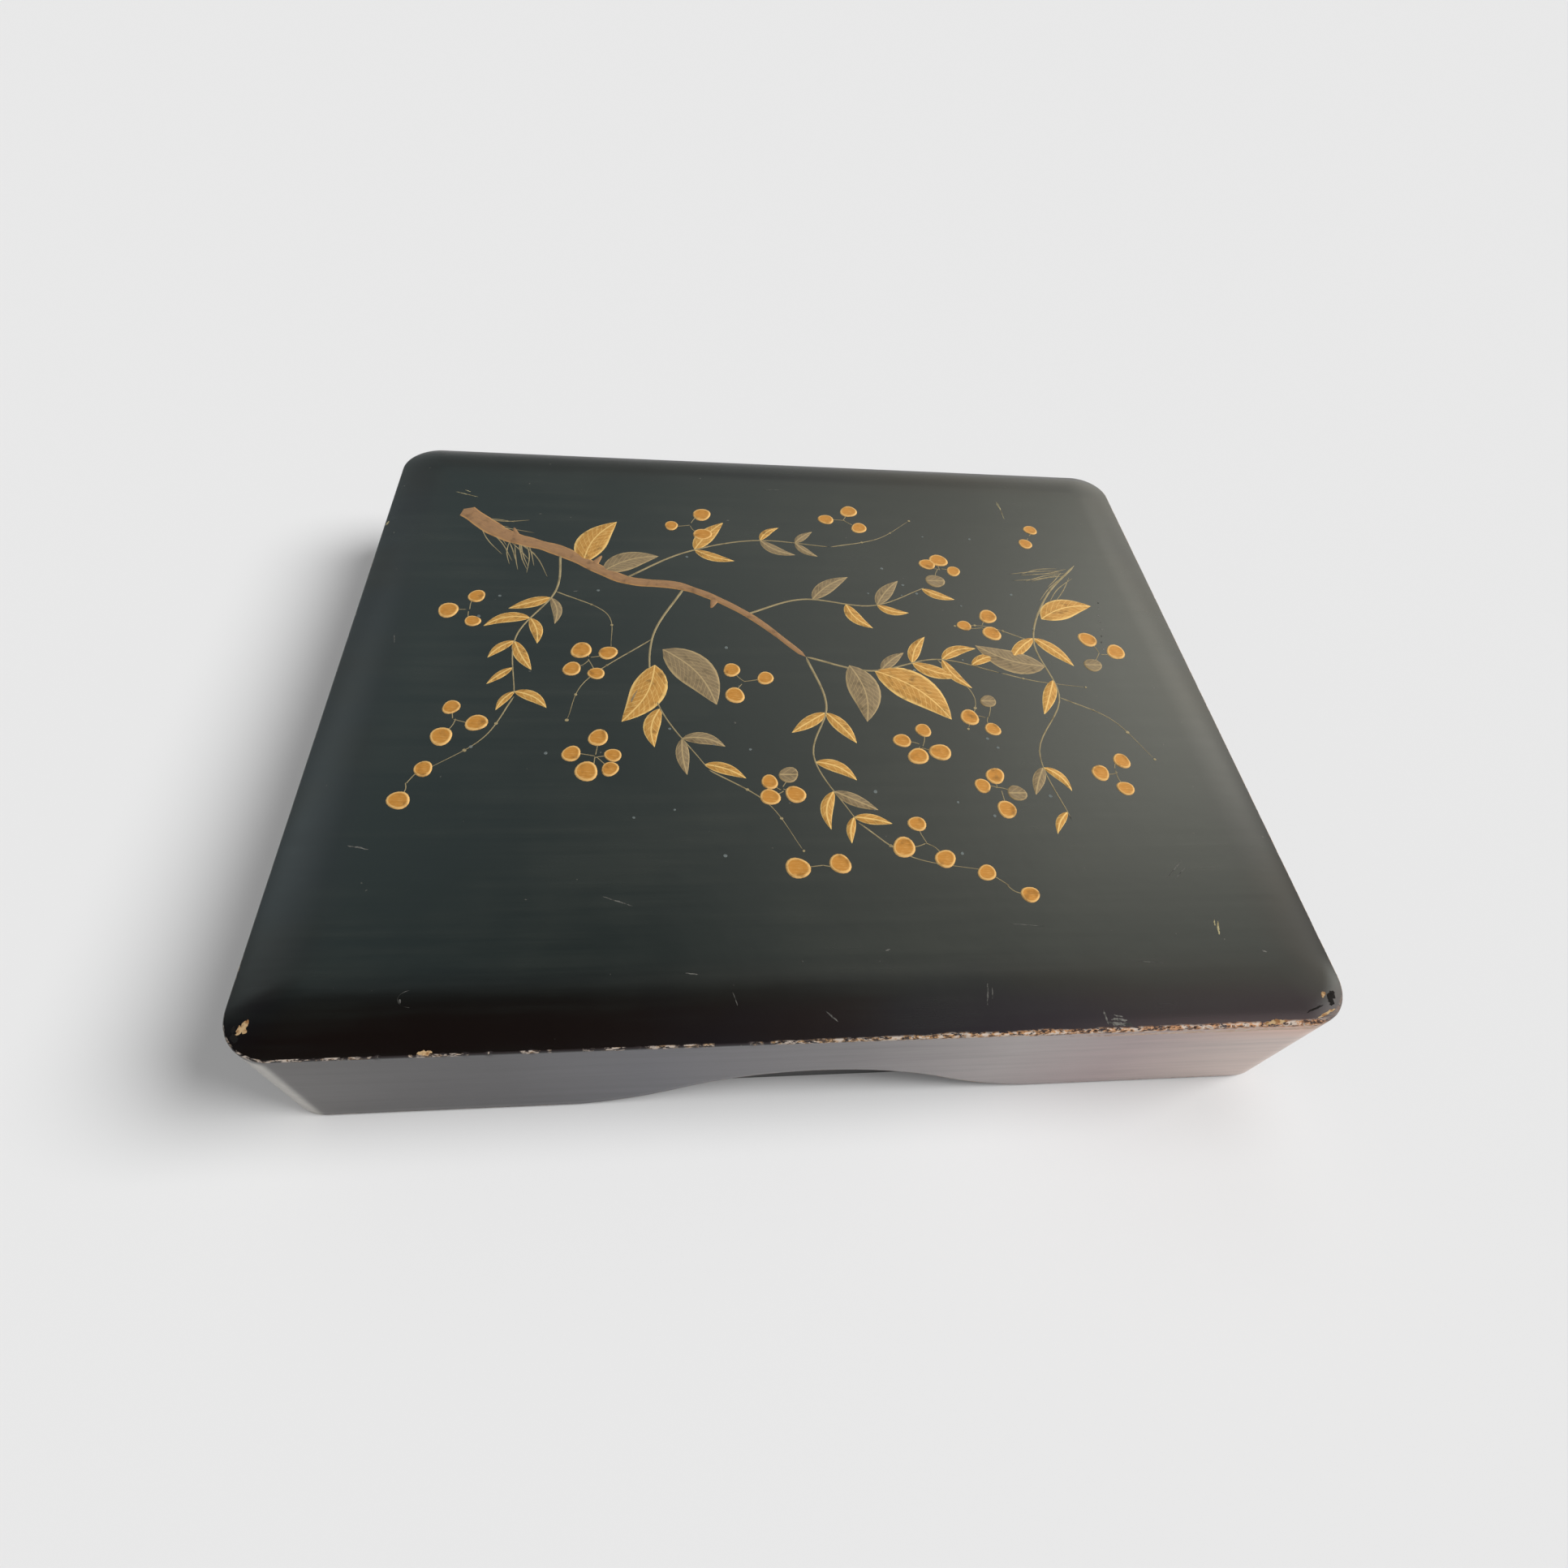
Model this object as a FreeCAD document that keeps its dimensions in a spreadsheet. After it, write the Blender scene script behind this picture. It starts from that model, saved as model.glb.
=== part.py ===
"""Japanese suzuri ink box: a lacquered wooden writing box with its full set of writing tools.

A deep lid slides down over a slightly smaller body until it rests on the body's rim.
Both are rings of four mitred boards with triangular glue blocks in the corners.
Inside, a loose board frames the inkstone and seats the water dropper and the ink stick.
Beside it a shallow tray carries two brushes, a paper knife and an awl on notched rests.

Frame: millimetres, +Z up, +X along the box's long side, +Y away from the front.
The origin is the middle of the underside, on the surface that the box stands on.
"""

import FreeCAD, Part

import math
import os

import Sketcher

SHEET = "Sizes"
OUT = "parts"
HALF_RIGHT = math.sqrt(0.5)
BULGE = math.sqrt(2) - 1
IN_CENTRE = 1 - HALF_RIGHT
PEG_SHARE = 0.2
# Places along the free hair and the hair's radius there, as shares of its length and its root.
HAIR_PROFILE = ((0.3, 1.04), (0.55, 0.86), (0.8, 0.45))

DRIVING_SIZES = [
    ("box_length", 242.4, "lid, outside, along X: 8 sun"),
    ("box_depth", 206.0, "lid, outside, along Y: 6.8 sun"),
    ("corner_skin", 1.1, "wood left where a rounded corner meets a mitre"),
    ("lid_side_height", 35.4, "lid's side boards"),
    ("lid_wall", 4.0, "thickness of the lid's side boards"),
    ("lid_ground_gap", 0.8, "table to the lid's lower edge"),
    ("top_land", 0.8, "upright edge of the top board below its rolled margin"),
    ("margin_width", 14.0, "width of the top board's rolled margin"),
    ("margin_drop", 3.0, "fall of the top board from its flat field to its edge"),
    ("edge_roll", 0.7, "radius along the top board's outer edge"),
    ("notch_width", 126.0, "finger notch in the lid's long sides, at its foot"),
    ("notch_height", 17.6, "finger notch, at its middle"),
    ("notch_flare", 0.6, "how far the notch's curve starts below the board's edge"),
    ("lid_block_leg", 6.5, "leg of the triangular blocks in the lid's corners"),
    ("lid_peg_grip", 12.0, "length of a lid peg below the top board"),
    ("lid_peg_head", 1.3, "length of a lid peg inside the top board"),
    ("slip_gap", 0.8, "clearance between the lid's sides and the body's sides"),
    ("base_wall", 4.0, "thickness of the body's side boards"),
    ("block_gap", 0.8, "clearance between the lid's corner blocks and the body"),
    ("bottom_board", 4.0, "thickness of the body's bottom board"),
    ("base_block_leg", 4.5, "leg of the triangular blocks in the body's corners"),
    ("base_peg_grip", 9.0, "length of a bottom peg above the bottom board"),
    ("fit_gap", 0.5, "clearance round the loose fittings inside the body"),
    ("ink_board_depth", 124.0, "loose board, along Y"),
    ("ink_board_thickness", 6.0, "loose board, along Z"),
    ("batten_height", 4.0, "battens under the loose board"),
    ("batten_width", 7.0, "battens under the loose board, along X"),
    ("stone_length", 128.0, "inkstone, along X"),
    ("stone_width", 78.0, "inkstone, along Y"),
    ("stone_height", 15.5, "inkstone"),
    ("stone_corner_radius", 3.0, "inkstone's upright corners"),
    ("stone_end_margin", 9.0, "inkstone to the right end of the loose board"),
    ("stone_rim", 5.0, "width of the inkstone's raised rim"),
    ("stone_land_depth", 1.8, "rim to the grinding land"),
    ("stone_well_depth", 8.5, "rim to the floor of the ink well"),
    ("stone_well_length", 16.0, "flat floor of the ink well, along X"),
    ("stone_ramp_length", 26.0, "slope from the well up to the land, along X"),
    ("dropper_length", 48.0, "water dropper, along X"),
    ("dropper_width", 40.0, "water dropper, along Y"),
    ("dropper_height", 15.0, "water dropper"),
    ("dropper_corner_radius", 7.0, "water dropper's upright corners"),
    ("dropper_wall", 1.0, "sheet of the water dropper"),
    ("dropper_recess", 2.5, "depth of the water dropper's seat"),
    ("dropper_hole_radius", 1.3, "air hole in the middle of the dropper's top"),
    ("spout_radius", 1.8, "dropper's spout, outside"),
    ("spout_bore_radius", 0.9, "dropper's spout, inside"),
    ("spout_height", 2.6, "dropper's spout, above the top"),
    ("stick_length", 62.0, "ink stick, along X"),
    ("stick_width", 20.0, "ink stick, along Y"),
    ("stick_height", 9.0, "ink stick"),
    ("stick_recess", 3.0, "depth of the ink stick's seat"),
    ("stick_round", 1.0, "rounding of the ink stick's edges"),
    ("seat_side_margin", 18.0, "loose board's edge to the dropper's seat"),
    ("stick_side_margin", 24.0, "loose board's edge to the ink stick's seat"),
    ("tray_wall", 3.0, "thickness of the tray's side boards"),
    ("tray_floor", 3.0, "thickness of the tray's floor"),
    ("tray_height", 19.0, "tray, over all"),
    ("tray_rest_height", 8.0, "cleats that carry the tray"),
    ("tray_rest_width", 6.0, "cleats that carry the tray, along X"),
    ("cleat_end_gap", 11.45, "tray's front and back edges to the ends of its cleats"),
    ("rest_height", 7.0, "notched rests, up to the axis of the tools"),
    ("rest_thickness", 5.0, "notched rests, along X"),
    ("near_rest_place", 28.0, "tray's left end, inside, to the first rest"),
    ("rest_spacing", 82.0, "first rest to second rest"),
    ("lie_gap", 0.35, "clearance between a tool and the notch that it lies in"),
    ("tool_end_gap", 1.4, "tray's left end, inside, to the tools"),
    ("thick_handle_radius", 4.0, "thick brush, handle"),
    ("thick_handle_length", 140.0, "thick brush, handle"),
    ("thick_tuft_length", 29.0, "thick brush, hair beyond the handle"),
    ("fine_handle_radius", 3.0, "fine brush, handle"),
    ("fine_handle_length", 138.0, "fine brush, handle"),
    ("fine_tuft_length", 23.0, "fine brush, hair beyond the handle"),
    ("tuft_root", 6.0, "hair bedded inside the handle"),
    ("handle_shell", 0.9, "wood round the bedded hair"),
    ("cap_wall", 1.2, "wall of a brush cap"),
    ("cap_overlap", 9.0, "brush cap over the handle"),
    ("cap_end", 2.0, "closed end of a brush cap"),
    ("cap_tip_gap", 2.0, "hair tip to the cap's closed end"),
    ("cap_slip", 0.08, "radial clearance between a cap and its handle"),
    ("node_band", 0.45, "how far a bamboo ring stands out of a handle"),
    ("knife_radius", 4.5, "paper knife, handle and sheath"),
    ("knife_handle_length", 84.0, "paper knife, handle"),
    ("knife_collar_length", 4.0, "paper knife, metal collar"),
    ("blade_width", 6.4, "paper knife, blade, along Z"),
    ("blade_thickness", 1.6, "paper knife, blade, along Y"),
    ("blade_length", 48.0, "paper knife, blade beyond the collar"),
    ("tang_width", 4.0, "paper knife, blade inside the handle, along Z"),
    ("tang_length", 24.0, "paper knife, blade inside the collar and the handle"),
    ("sheath_end", 4.0, "paper knife, solid end of the sheath"),
    ("sheath_slip", 0.4, "clearance between the blade and its sheath"),
    ("awl_radius", 3.5, "awl, handle"),
    ("awl_handle_length", 118.0, "awl, handle"),
    ("awl_ferrule_length", 7.0, "awl, metal ferrule"),
    ("awl_point_length", 32.0, "awl, steel beyond the ferrule"),
    ("awl_point_radius", 1.1, "awl, steel"),
    ("awl_tip_radius", 0.25, "awl, blunted tip"),
    ("awl_tang_length", 18.0, "awl, steel inside the ferrule and the handle"),
]


class Size:
    """A length that knows both its value in millimetres and the formula it comes from."""

    def __init__(self, value, text):
        self.value = value
        self.text = text

    @staticmethod
    def of(other):
        """A plain number as a Size; a Size as it is."""
        return other if isinstance(other, Size) else Size(float(other), repr(float(other)))

    def __add__(self, other):
        other = Size.of(other)
        return Size(self.value + other.value, f"({self.text} + {other.text})")

    def __sub__(self, other):
        other = Size.of(other)
        return Size(self.value - other.value, f"({self.text} - {other.text})")

    def __mul__(self, other):
        other = Size.of(other)
        return Size(self.value * other.value, f"({self.text} * {other.text})")

    def __truediv__(self, other):
        other = Size.of(other)
        return Size(self.value / other.value, f"({self.text} / {other.text})")

    def __radd__(self, other):
        return Size.of(other) + self

    def __rsub__(self, other):
        return Size.of(other) - self

    def __rmul__(self, other):
        return Size.of(other) * self

    def __neg__(self):
        return Size(-self.value, f"(0 - {self.text})")


ZERO = Size.of(0)


class Sizes:
    """The spreadsheet's named cells, each one an attribute that holds a Size."""

    def __init__(self, doc, rows):
        sheet = doc.addObject("Spreadsheet::Sheet", SHEET)
        for row, (alias, value, meaning) in enumerate(rows, start=1):
            sheet.set(f"A{row}", alias)
            sheet.set(f"B{row}", str(value))
            sheet.set(f"C{row}", meaning)
            sheet.setAlias(f"B{row}", alias)
            setattr(self, alias, Size(value, f"{SHEET}.{alias}"))
        doc.recompute()


def bind(obj, prop, size):
    """Ties a property of an object to the spreadsheet."""
    size = Size.of(size)
    obj.setExpression(prop, size.text)


def place(obj, x=ZERO, y=ZERO, z=ZERO):
    """Ties an object's position to the spreadsheet."""
    for axis, size in zip("xyz", (x, y, z)):
        bind(obj, f"Placement.Base.{axis}", size)
    return obj


def new_body(doc, name, x=ZERO, y=ZERO, z=ZERO):
    """An empty body, placed in the box's frame."""
    body = doc.addObject("PartDesign::Body", name)
    body.Label = name
    return place(body, x, y, z)


def new_sketch(body, name, role="XY_Plane", lift=ZERO):
    """A sketch on one of the body's own origin planes, lifted along that plane's normal."""
    sketch = body.newObject("Sketcher::SketchObject", name)
    plane = [f for f in body.Origin.OriginFeatures if f.Role == role][0]
    sketch.AttachmentSupport = [(plane, "")]
    sketch.MapMode = "FlatFace"
    bind(sketch, "AttachmentOffset.Base.z", lift)
    return sketch


def pin(sketch, geometry, vertex, x, y):
    """Fixes one point of a sketch by its distances from the origin."""
    for kind, size in (("DistanceX", x), ("DistanceY", y)):
        number = sketch.addConstraint(
            Sketcher.Constraint(kind, -1, 1, geometry, vertex, size.value)
        )
        sketch.setExpression(f"Constraints[{number}]", size.text)


def draw(sketch, points):
    """Draws a closed outline. A point is (x, y), or (x, y, radius, cx, cy) where an arc leads to it."""
    points = [tuple(Size.of(v) for v in p) for p in points]
    vertices = [FreeCAD.Vector(p[0].value, p[1].value, 0) for p in points]
    joints = []
    for i, point in enumerate(points):
        start, end = vertices[i - 1], vertices[i]
        if len(point) == 2:
            number = sketch.addGeometry(Part.LineSegment(start, end), False)
            joints.append((number, 1, 2))
            continue
        centre = FreeCAD.Vector(point[3].value, point[4].value, 0)
        a, b = start - centre, end - centre
        turns_left = a.x * b.y - a.y * b.x > 0
        first, last = (a, b) if turns_left else (b, a)
        low = math.atan2(first.y, first.x)
        high = math.atan2(last.y, last.x)
        circle = Part.Circle(centre, FreeCAD.Vector(0, 0, 1), point[2].value)
        number = sketch.addGeometry(Part.ArcOfCircle(circle, low, high), False)
        joints.append((number, 1, 2) if turns_left else (number, 2, 1))
        radius = sketch.addConstraint(
            Sketcher.Constraint("Radius", number, point[2].value)
        )
        sketch.setExpression(f"Constraints[{radius}]", point[2].text)
    for i, (number, head, tail) in enumerate(joints):
        before, _, before_tail = joints[i - 1]
        sketch.addConstraint(
            Sketcher.Constraint("Coincident", before, before_tail, number, head)
        )
        pin(sketch, number, tail, points[i][0], points[i][1])
    return sketch


def draw_circles(sketch, centres, radius):
    """Draws equal circles about the given centres."""
    for x, y in centres:
        x, y = Size.of(x), Size.of(y)
        centre = FreeCAD.Vector(x.value, y.value, 0)
        circle = Part.Circle(centre, FreeCAD.Vector(0, 0, 1), radius.value)
        number = sketch.addGeometry(circle, False)
        pin(sketch, number, 3, x, y)
        tie = sketch.addConstraint(Sketcher.Constraint("Radius", number, radius.value))
        sketch.setExpression(f"Constraints[{tie}]", radius.text)
    return sketch


def rounded_rectangle(length, width, radius, x=ZERO, y=ZERO):
    """Corner points of a rectangle about (x, y) whose corners are arcs."""
    a, b = length / 2, width / 2
    points = []
    for sx, sy, across in ((-1, -1, 0), (1, -1, 1), (1, 1, 0), (-1, 1, 1)):
        cx, cy = x + sx * (a - radius), y + sy * (b - radius)
        on_side = (x + sx * a, cy)
        on_end = (cx, y + sy * b)
        first, last = (on_end, on_side) if across else (on_side, on_end)
        points += [first, (*last, radius, cx, cy)]
    return points


def rectangle(length, width, x=ZERO, y=ZERO):
    """Corner points of a plain rectangle about (x, y)."""
    signs = ((-1, -1), (1, -1), (1, 1), (-1, 1))
    return [(x + sx * length / 2, y + sy * width / 2) for sx, sy in signs]


def pad(body, name, sketch, height):
    """Raises a profile by a height."""
    feature = body.newObject("PartDesign::Pad", name)
    feature.Profile = sketch
    bind(feature, "Length", height)
    body.Document.recompute()
    return feature


def cut(body, name, sketch, depth=None, upwards=False, both_ways=False):
    """Cuts a profile out of the body: through all of it, or to a depth along or against its normal."""
    before = body.Shape.Volume
    feature = body.newObject("PartDesign::Pocket", name)
    feature.Profile = sketch
    feature.Midplane = both_ways
    feature.Reversed = upwards
    if depth is None:
        feature.Type = "ThroughAll"
    else:
        bind(feature, "Length", depth)
    body.Document.recompute()
    if body.Shape.Volume >= before:
        raise RuntimeError(f"{body.Label}: {name} cuts nothing")
    return feature


def turn(body, name, sketch):
    """Revolves a profile of the XY plane about the body's X axis."""
    feature = body.newObject("PartDesign::Revolution", name)
    feature.Profile = sketch
    feature.ReferenceAxis = (sketch, ["H_Axis"])
    feature.Angle = 360
    body.Document.recompute()
    return feature


def round_edges(body, name, radius, wanted):
    """Rounds the edges of the finished body for which wanted(edge) holds."""
    edges = [f"Edge{i}" for i, e in enumerate(body.Shape.Edges, start=1) if wanted(e)]
    finished = body.Tip
    feature = body.newObject("PartDesign::Fillet", name)
    feature.Base = (finished, edges)
    bind(feature, "Radius", radius)
    body.Document.recompute()
    return feature


def block(doc, name, length, width, height, x, y, z):
    """A plain squared board, centred on x and y and standing on z."""
    body = new_body(doc, name, x, y, z)
    pad(body, "Board", draw(new_sketch(body, "Plan"), rectangle(length, width)), height)
    return body


def turned(doc, name, profile, x, y, z):
    """A piece turned about an axis along X. The profile is (along, radius) points, axis to axis."""
    body = new_body(doc, name, x, y, z)
    turn(body, "Turning", draw(new_sketch(body, "Profile"), profile))
    return body


def mitred_ring(doc, prefix, length, depth, height, wall, radius, z, y=ZERO):
    """Four upright boards with mitred ends and rounded outer corners, standing on z."""
    short = radius * IN_CENTRE
    boards = {}
    for side, (along, across) in {
        "front": (length / 2, depth / 2),
        "back": (length / 2, depth / 2),
        "left": (depth / 2, length / 2),
        "right": (depth / 2, length / 2),
    }.items():
        sign = -1 if side in ("front", "left") else 1
        runs_along_x = side in ("front", "back")

        def at(u, v):
            return (u, sign * v) if runs_along_x else (sign * v, u)

        bend = along - radius
        centre_left = at(-bend, across - radius)
        centre_right = at(bend, across - radius)
        outline = [
            (*at(-bend, across), radius, *centre_left),
            at(bend, across),
            (*at(along - short, across - short), radius, *centre_right),
            at(along - wall, across - wall),
            at(-(along - wall), across - wall),
            at(-(along - short), across - short),
        ]
        body = new_body(doc, f"{prefix}_{side}_side", ZERO, y, z)
        pad(body, "Board", draw(new_sketch(body, "Plan"), outline), height)
        boards[side] = body
    return boards


def corners():
    """The four corners of the box, as the signs of X and Y and a name."""
    for fore, sy in (("front", -1), ("back", 1)):
        for side, sx in (("left", -1), ("right", 1)):
            yield sx, sy, f"{fore}_{side}"


def corner_blocks(doc, prefix, length, depth, height, leg, z):
    """Triangular glue blocks in the inner corners of a ring, one body each."""
    blocks = {}
    for sx, sy, name in corners():
        body = new_body(doc, f"{prefix}_{name}_block", sx * length / 2, sy * depth / 2, z)
        outline = [(0, 0), (-sx * leg, 0), (0, -sy * leg)]
        pad(body, "Block", draw(new_sketch(body, "Plan"), outline), height)
        blocks[name] = body
    return blocks


def drill_blocks(blocks, leg, height, depth):
    """A blind hole down the middle of each block for its peg."""
    reach = leg * IN_CENTRE
    for sx, sy, name in corners():
        sketch = new_sketch(blocks[name], "PegPlace", lift=height)
        draw_circles(sketch, [(-sx * reach, -sy * reach)], leg * PEG_SHARE)
        cut(blocks[name], "PegHole", sketch, depth=depth)


def pegs(doc, name, centres, radius, length, z):
    """Round wooden pegs that share one node."""
    made = []
    for i, (x, y) in enumerate(centres):
        peg = doc.addObject("Part::Cylinder", f"{name}_{i}")
        bind(peg, "Radius", radius)
        bind(peg, "Height", length)
        made.append(place(peg, x, y, z))
    group = doc.addObject("Part::Compound", name)
    group.Label = name
    group.Links = made
    return group


class Lid:
    """The deep lid: a top board with a rolled margin on four side boards, with finger notches."""

    def __init__(self, doc, s):
        self.doc, self.s = doc, s
        self.ceiling = s.lid_ground_gap + s.lid_side_height
        self.inner_length = s.box_length - 2 * s.lid_wall
        self.inner_depth = s.box_depth - 2 * s.lid_wall
        self.radius = (s.lid_wall / HALF_RIGHT - s.corner_skin) / BULGE
        self.peg_radius = s.lid_block_leg * PEG_SHARE
        inset = s.lid_wall + s.lid_block_leg * IN_CENTRE
        self.peg_places = [
            (sx * (s.box_length / 2 - inset), sy * (s.box_depth / 2 - inset))
            for sx, sy, _ in corners()
        ]

    def build(self):
        """Makes the sides, their glue blocks, the top board and the pegs that join them."""
        s, doc = self.s, self.doc
        sides = mitred_ring(
            doc, "lid", s.box_length, s.box_depth, s.lid_side_height,
            s.lid_wall, self.radius, s.lid_ground_gap,
        )
        for name in ("front", "back"):
            self.cut_notch(sides[name])
        blocks = corner_blocks(
            doc, "lid", self.inner_length, self.inner_depth,
            s.lid_side_height, s.lid_block_leg, s.lid_ground_gap,
        )
        drill_blocks(blocks, s.lid_block_leg, s.lid_side_height, s.lid_peg_grip)
        self.top_board()
        pegs(
            doc, "lid_corner_pegs", self.peg_places, self.peg_radius,
            s.lid_peg_grip + s.lid_peg_head, self.ceiling - s.lid_peg_grip,
        )

    def cut_notch(self, board):
        """A shallow bell of tangent arcs, so that fingers reach the body under the lid."""
        s = self.s
        quarter = s.notch_width / 4
        step = (s.notch_height + s.notch_flare) / 2
        radius = (quarter * quarter + step * step) / (2 * step)
        foot = -s.notch_flare
        crown_centre = s.notch_height - radius
        outline = [
            (-2 * quarter, foot),
            (-quarter, foot + step, radius, -2 * quarter, foot + radius),
            (quarter, foot + step, radius, ZERO, crown_centre),
            (2 * quarter, foot, radius, 2 * quarter, foot + radius),
        ]
        sketch = draw(new_sketch(board, "NotchShape", "XZ_Plane"), outline)
        cut(board, "FingerNotch", sketch, both_ways=True)

    def top_board(self):
        """A flat field inside a margin that rolls down to an upright edge, all the way round."""
        s = self.s
        body = new_body(self.doc, "lid_top_board", z=self.ceiling)
        thickness = s.top_land + s.margin_drop
        plan = rounded_rectangle(s.box_length, s.box_depth, self.radius)
        pad(body, "Board", draw(new_sketch(body, "Plan"), plan), thickness)
        roll = (s.margin_width * s.margin_width + s.margin_drop * s.margin_drop) / (
            2 * s.margin_drop
        )
        for name, role, half, run in (
            ("End", "XZ_Plane", s.box_length / 2, s.box_depth),
            ("Side", "YZ_Plane", s.box_depth / 2, s.box_length),
        ):
            for sign, hand in ((-1, "Low"), (1, "High")):
                sketch = new_sketch(body, f"{name}{hand}Margin", role)
                field_edge = sign * (half - s.margin_width)
                outline = [
                    (field_edge, thickness),
                    (sign * half, s.top_land, roll, field_edge, thickness - roll),
                    (sign * half, thickness),
                ]
                draw(sketch, outline)
                cut_about(body, f"{name}{hand}Roll", sketch, run - 2 * self.radius)
        for sx, sy, name in corners():
            self.roll_corner(body, sx, sy, name, thickness, roll)
        holes = draw_circles(new_sketch(body, "PegPlaces"), self.peg_places, self.peg_radius)
        cut(body, "PegHoles", holes, depth=s.lid_peg_head, upwards=True)
        arris = s.top_land.value
        round_edges(
            body, "EdgeRoll", s.edge_roll,
            lambda e: all(abs(v.Z - arris - self.ceiling.value) < 1e-6 for v in e.Vertexes),
        )
        return body

    def roll_corner(self, body, sx, sy, name, thickness, roll):
        """Carries the margin's roll round one upright corner."""
        s = self.s
        cx = sx * (s.box_length / 2 - self.radius)
        cy = sy * (s.box_depth / 2 - self.radius)
        sketch = new_sketch(body, f"Corner_{name}", "XZ_Plane", lift=-cy)
        arc_centre = cx - sx * (s.margin_width - self.radius)
        reach = s.margin_width - self.radius
        crest = thickness - roll + root(roll * roll - reach * reach)
        outline = [
            (cx, crest),
            (cx + sx * self.radius, s.top_land, roll, arc_centre, thickness - roll),
            (cx + sx * self.radius, thickness),
            (cx, thickness),
        ]
        draw(sketch, outline)
        axis = sketch.addGeometry(
            Part.LineSegment(
                FreeCAD.Vector(cx.value, 0, 0), FreeCAD.Vector(cx.value, s.top_land.value, 0)
            ),
            True,
        )
        pin(sketch, axis, 1, cx, ZERO)
        pin(sketch, axis, 2, cx, s.top_land)
        before = body.Shape.Volume
        groove = body.newObject("PartDesign::Groove", f"CornerRoll_{name}")
        groove.Profile = sketch
        groove.ReferenceAxis = (sketch, ["Axis0"])
        groove.Angle = 90
        groove.Reversed = sx * sy < 0
        body.Document.recompute()
        if body.Shape.Volume >= before:
            raise RuntimeError(f"the corner roll at the {name} cuts nothing")


def root(size):
    """Square root of a Size."""
    return Size(math.sqrt(size.value), f"sqrt({size.text})")


def cut_about(body, name, sketch, run):
    """Cuts a profile out of the body over a run, half on each side of the profile's plane."""
    before = body.Shape.Volume
    feature = body.newObject("PartDesign::Pocket", name)
    feature.Profile = sketch
    feature.Midplane = True
    bind(feature, "Length", run)
    body.Document.recompute()
    if body.Shape.Volume >= before:
        raise RuntimeError(f"{name} cuts nothing")


class Base:
    """The body that the lid slides over: a ring of boards on a flat bottom board."""

    def __init__(self, doc, s, lid):
        self.doc, self.s, self.lid = doc, s, lid
        self.length = lid.inner_length - 2 * s.slip_gap
        self.depth = lid.inner_depth - 2 * s.slip_gap
        self.side_height = lid.ceiling - s.bottom_board
        self.radius = (
            s.lid_block_leg * HALF_RIGHT + s.block_gap + s.slip_gap * (1 - 1 / HALF_RIGHT)
        ) / BULGE
        self.room_length = self.length - 2 * s.base_wall
        self.room_depth = self.depth - 2 * s.base_wall
        self.fitting_radius = (
            s.base_block_leg * HALF_RIGHT + s.fit_gap * (2 - 1 / HALF_RIGHT)
        ) / BULGE
        self.fitting_length = self.room_length - 2 * s.fit_gap

    def build(self):
        """Makes the bottom board, the sides, their glue blocks and the pegs from below."""
        s, doc = self.s, self.doc
        reach = s.base_block_leg * IN_CENTRE
        places = [
            (sx * (self.room_length / 2 - reach), sy * (self.room_depth / 2 - reach))
            for sx, sy, _ in corners()
        ]
        peg_radius = s.base_block_leg * PEG_SHARE
        board = new_body(doc, "base_bottom_board")
        plan = rounded_rectangle(self.length, self.depth, self.radius)
        pad(board, "Board", draw(new_sketch(board, "Plan"), plan), s.bottom_board)
        holes = draw_circles(
            new_sketch(board, "PegPlaces", lift=s.bottom_board), places, peg_radius
        )
        cut(board, "PegHoles", holes, depth=s.bottom_board)
        mitred_ring(
            doc, "base", self.length, self.depth, self.side_height,
            s.base_wall, self.radius, s.bottom_board,
        )
        blocks = corner_blocks(
            doc, "base", self.room_length, self.room_depth,
            self.side_height, s.base_block_leg, s.bottom_board,
        )
        self.drill_from_below(blocks, reach, peg_radius)
        pegs(
            doc, "base_corner_pegs", places, peg_radius,
            s.bottom_board + s.base_peg_grip, ZERO,
        )

    def drill_from_below(self, blocks, reach, radius):
        """Blind peg holes up into the glue blocks."""
        for sx, sy, name in corners():
            sketch = new_sketch(blocks[name], "PegPlace")
            draw_circles(sketch, [(-sx * reach, -sy * reach)], radius)
            cut(blocks[name], "PegHole", sketch, depth=self.s.base_peg_grip, upwards=True)


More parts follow.
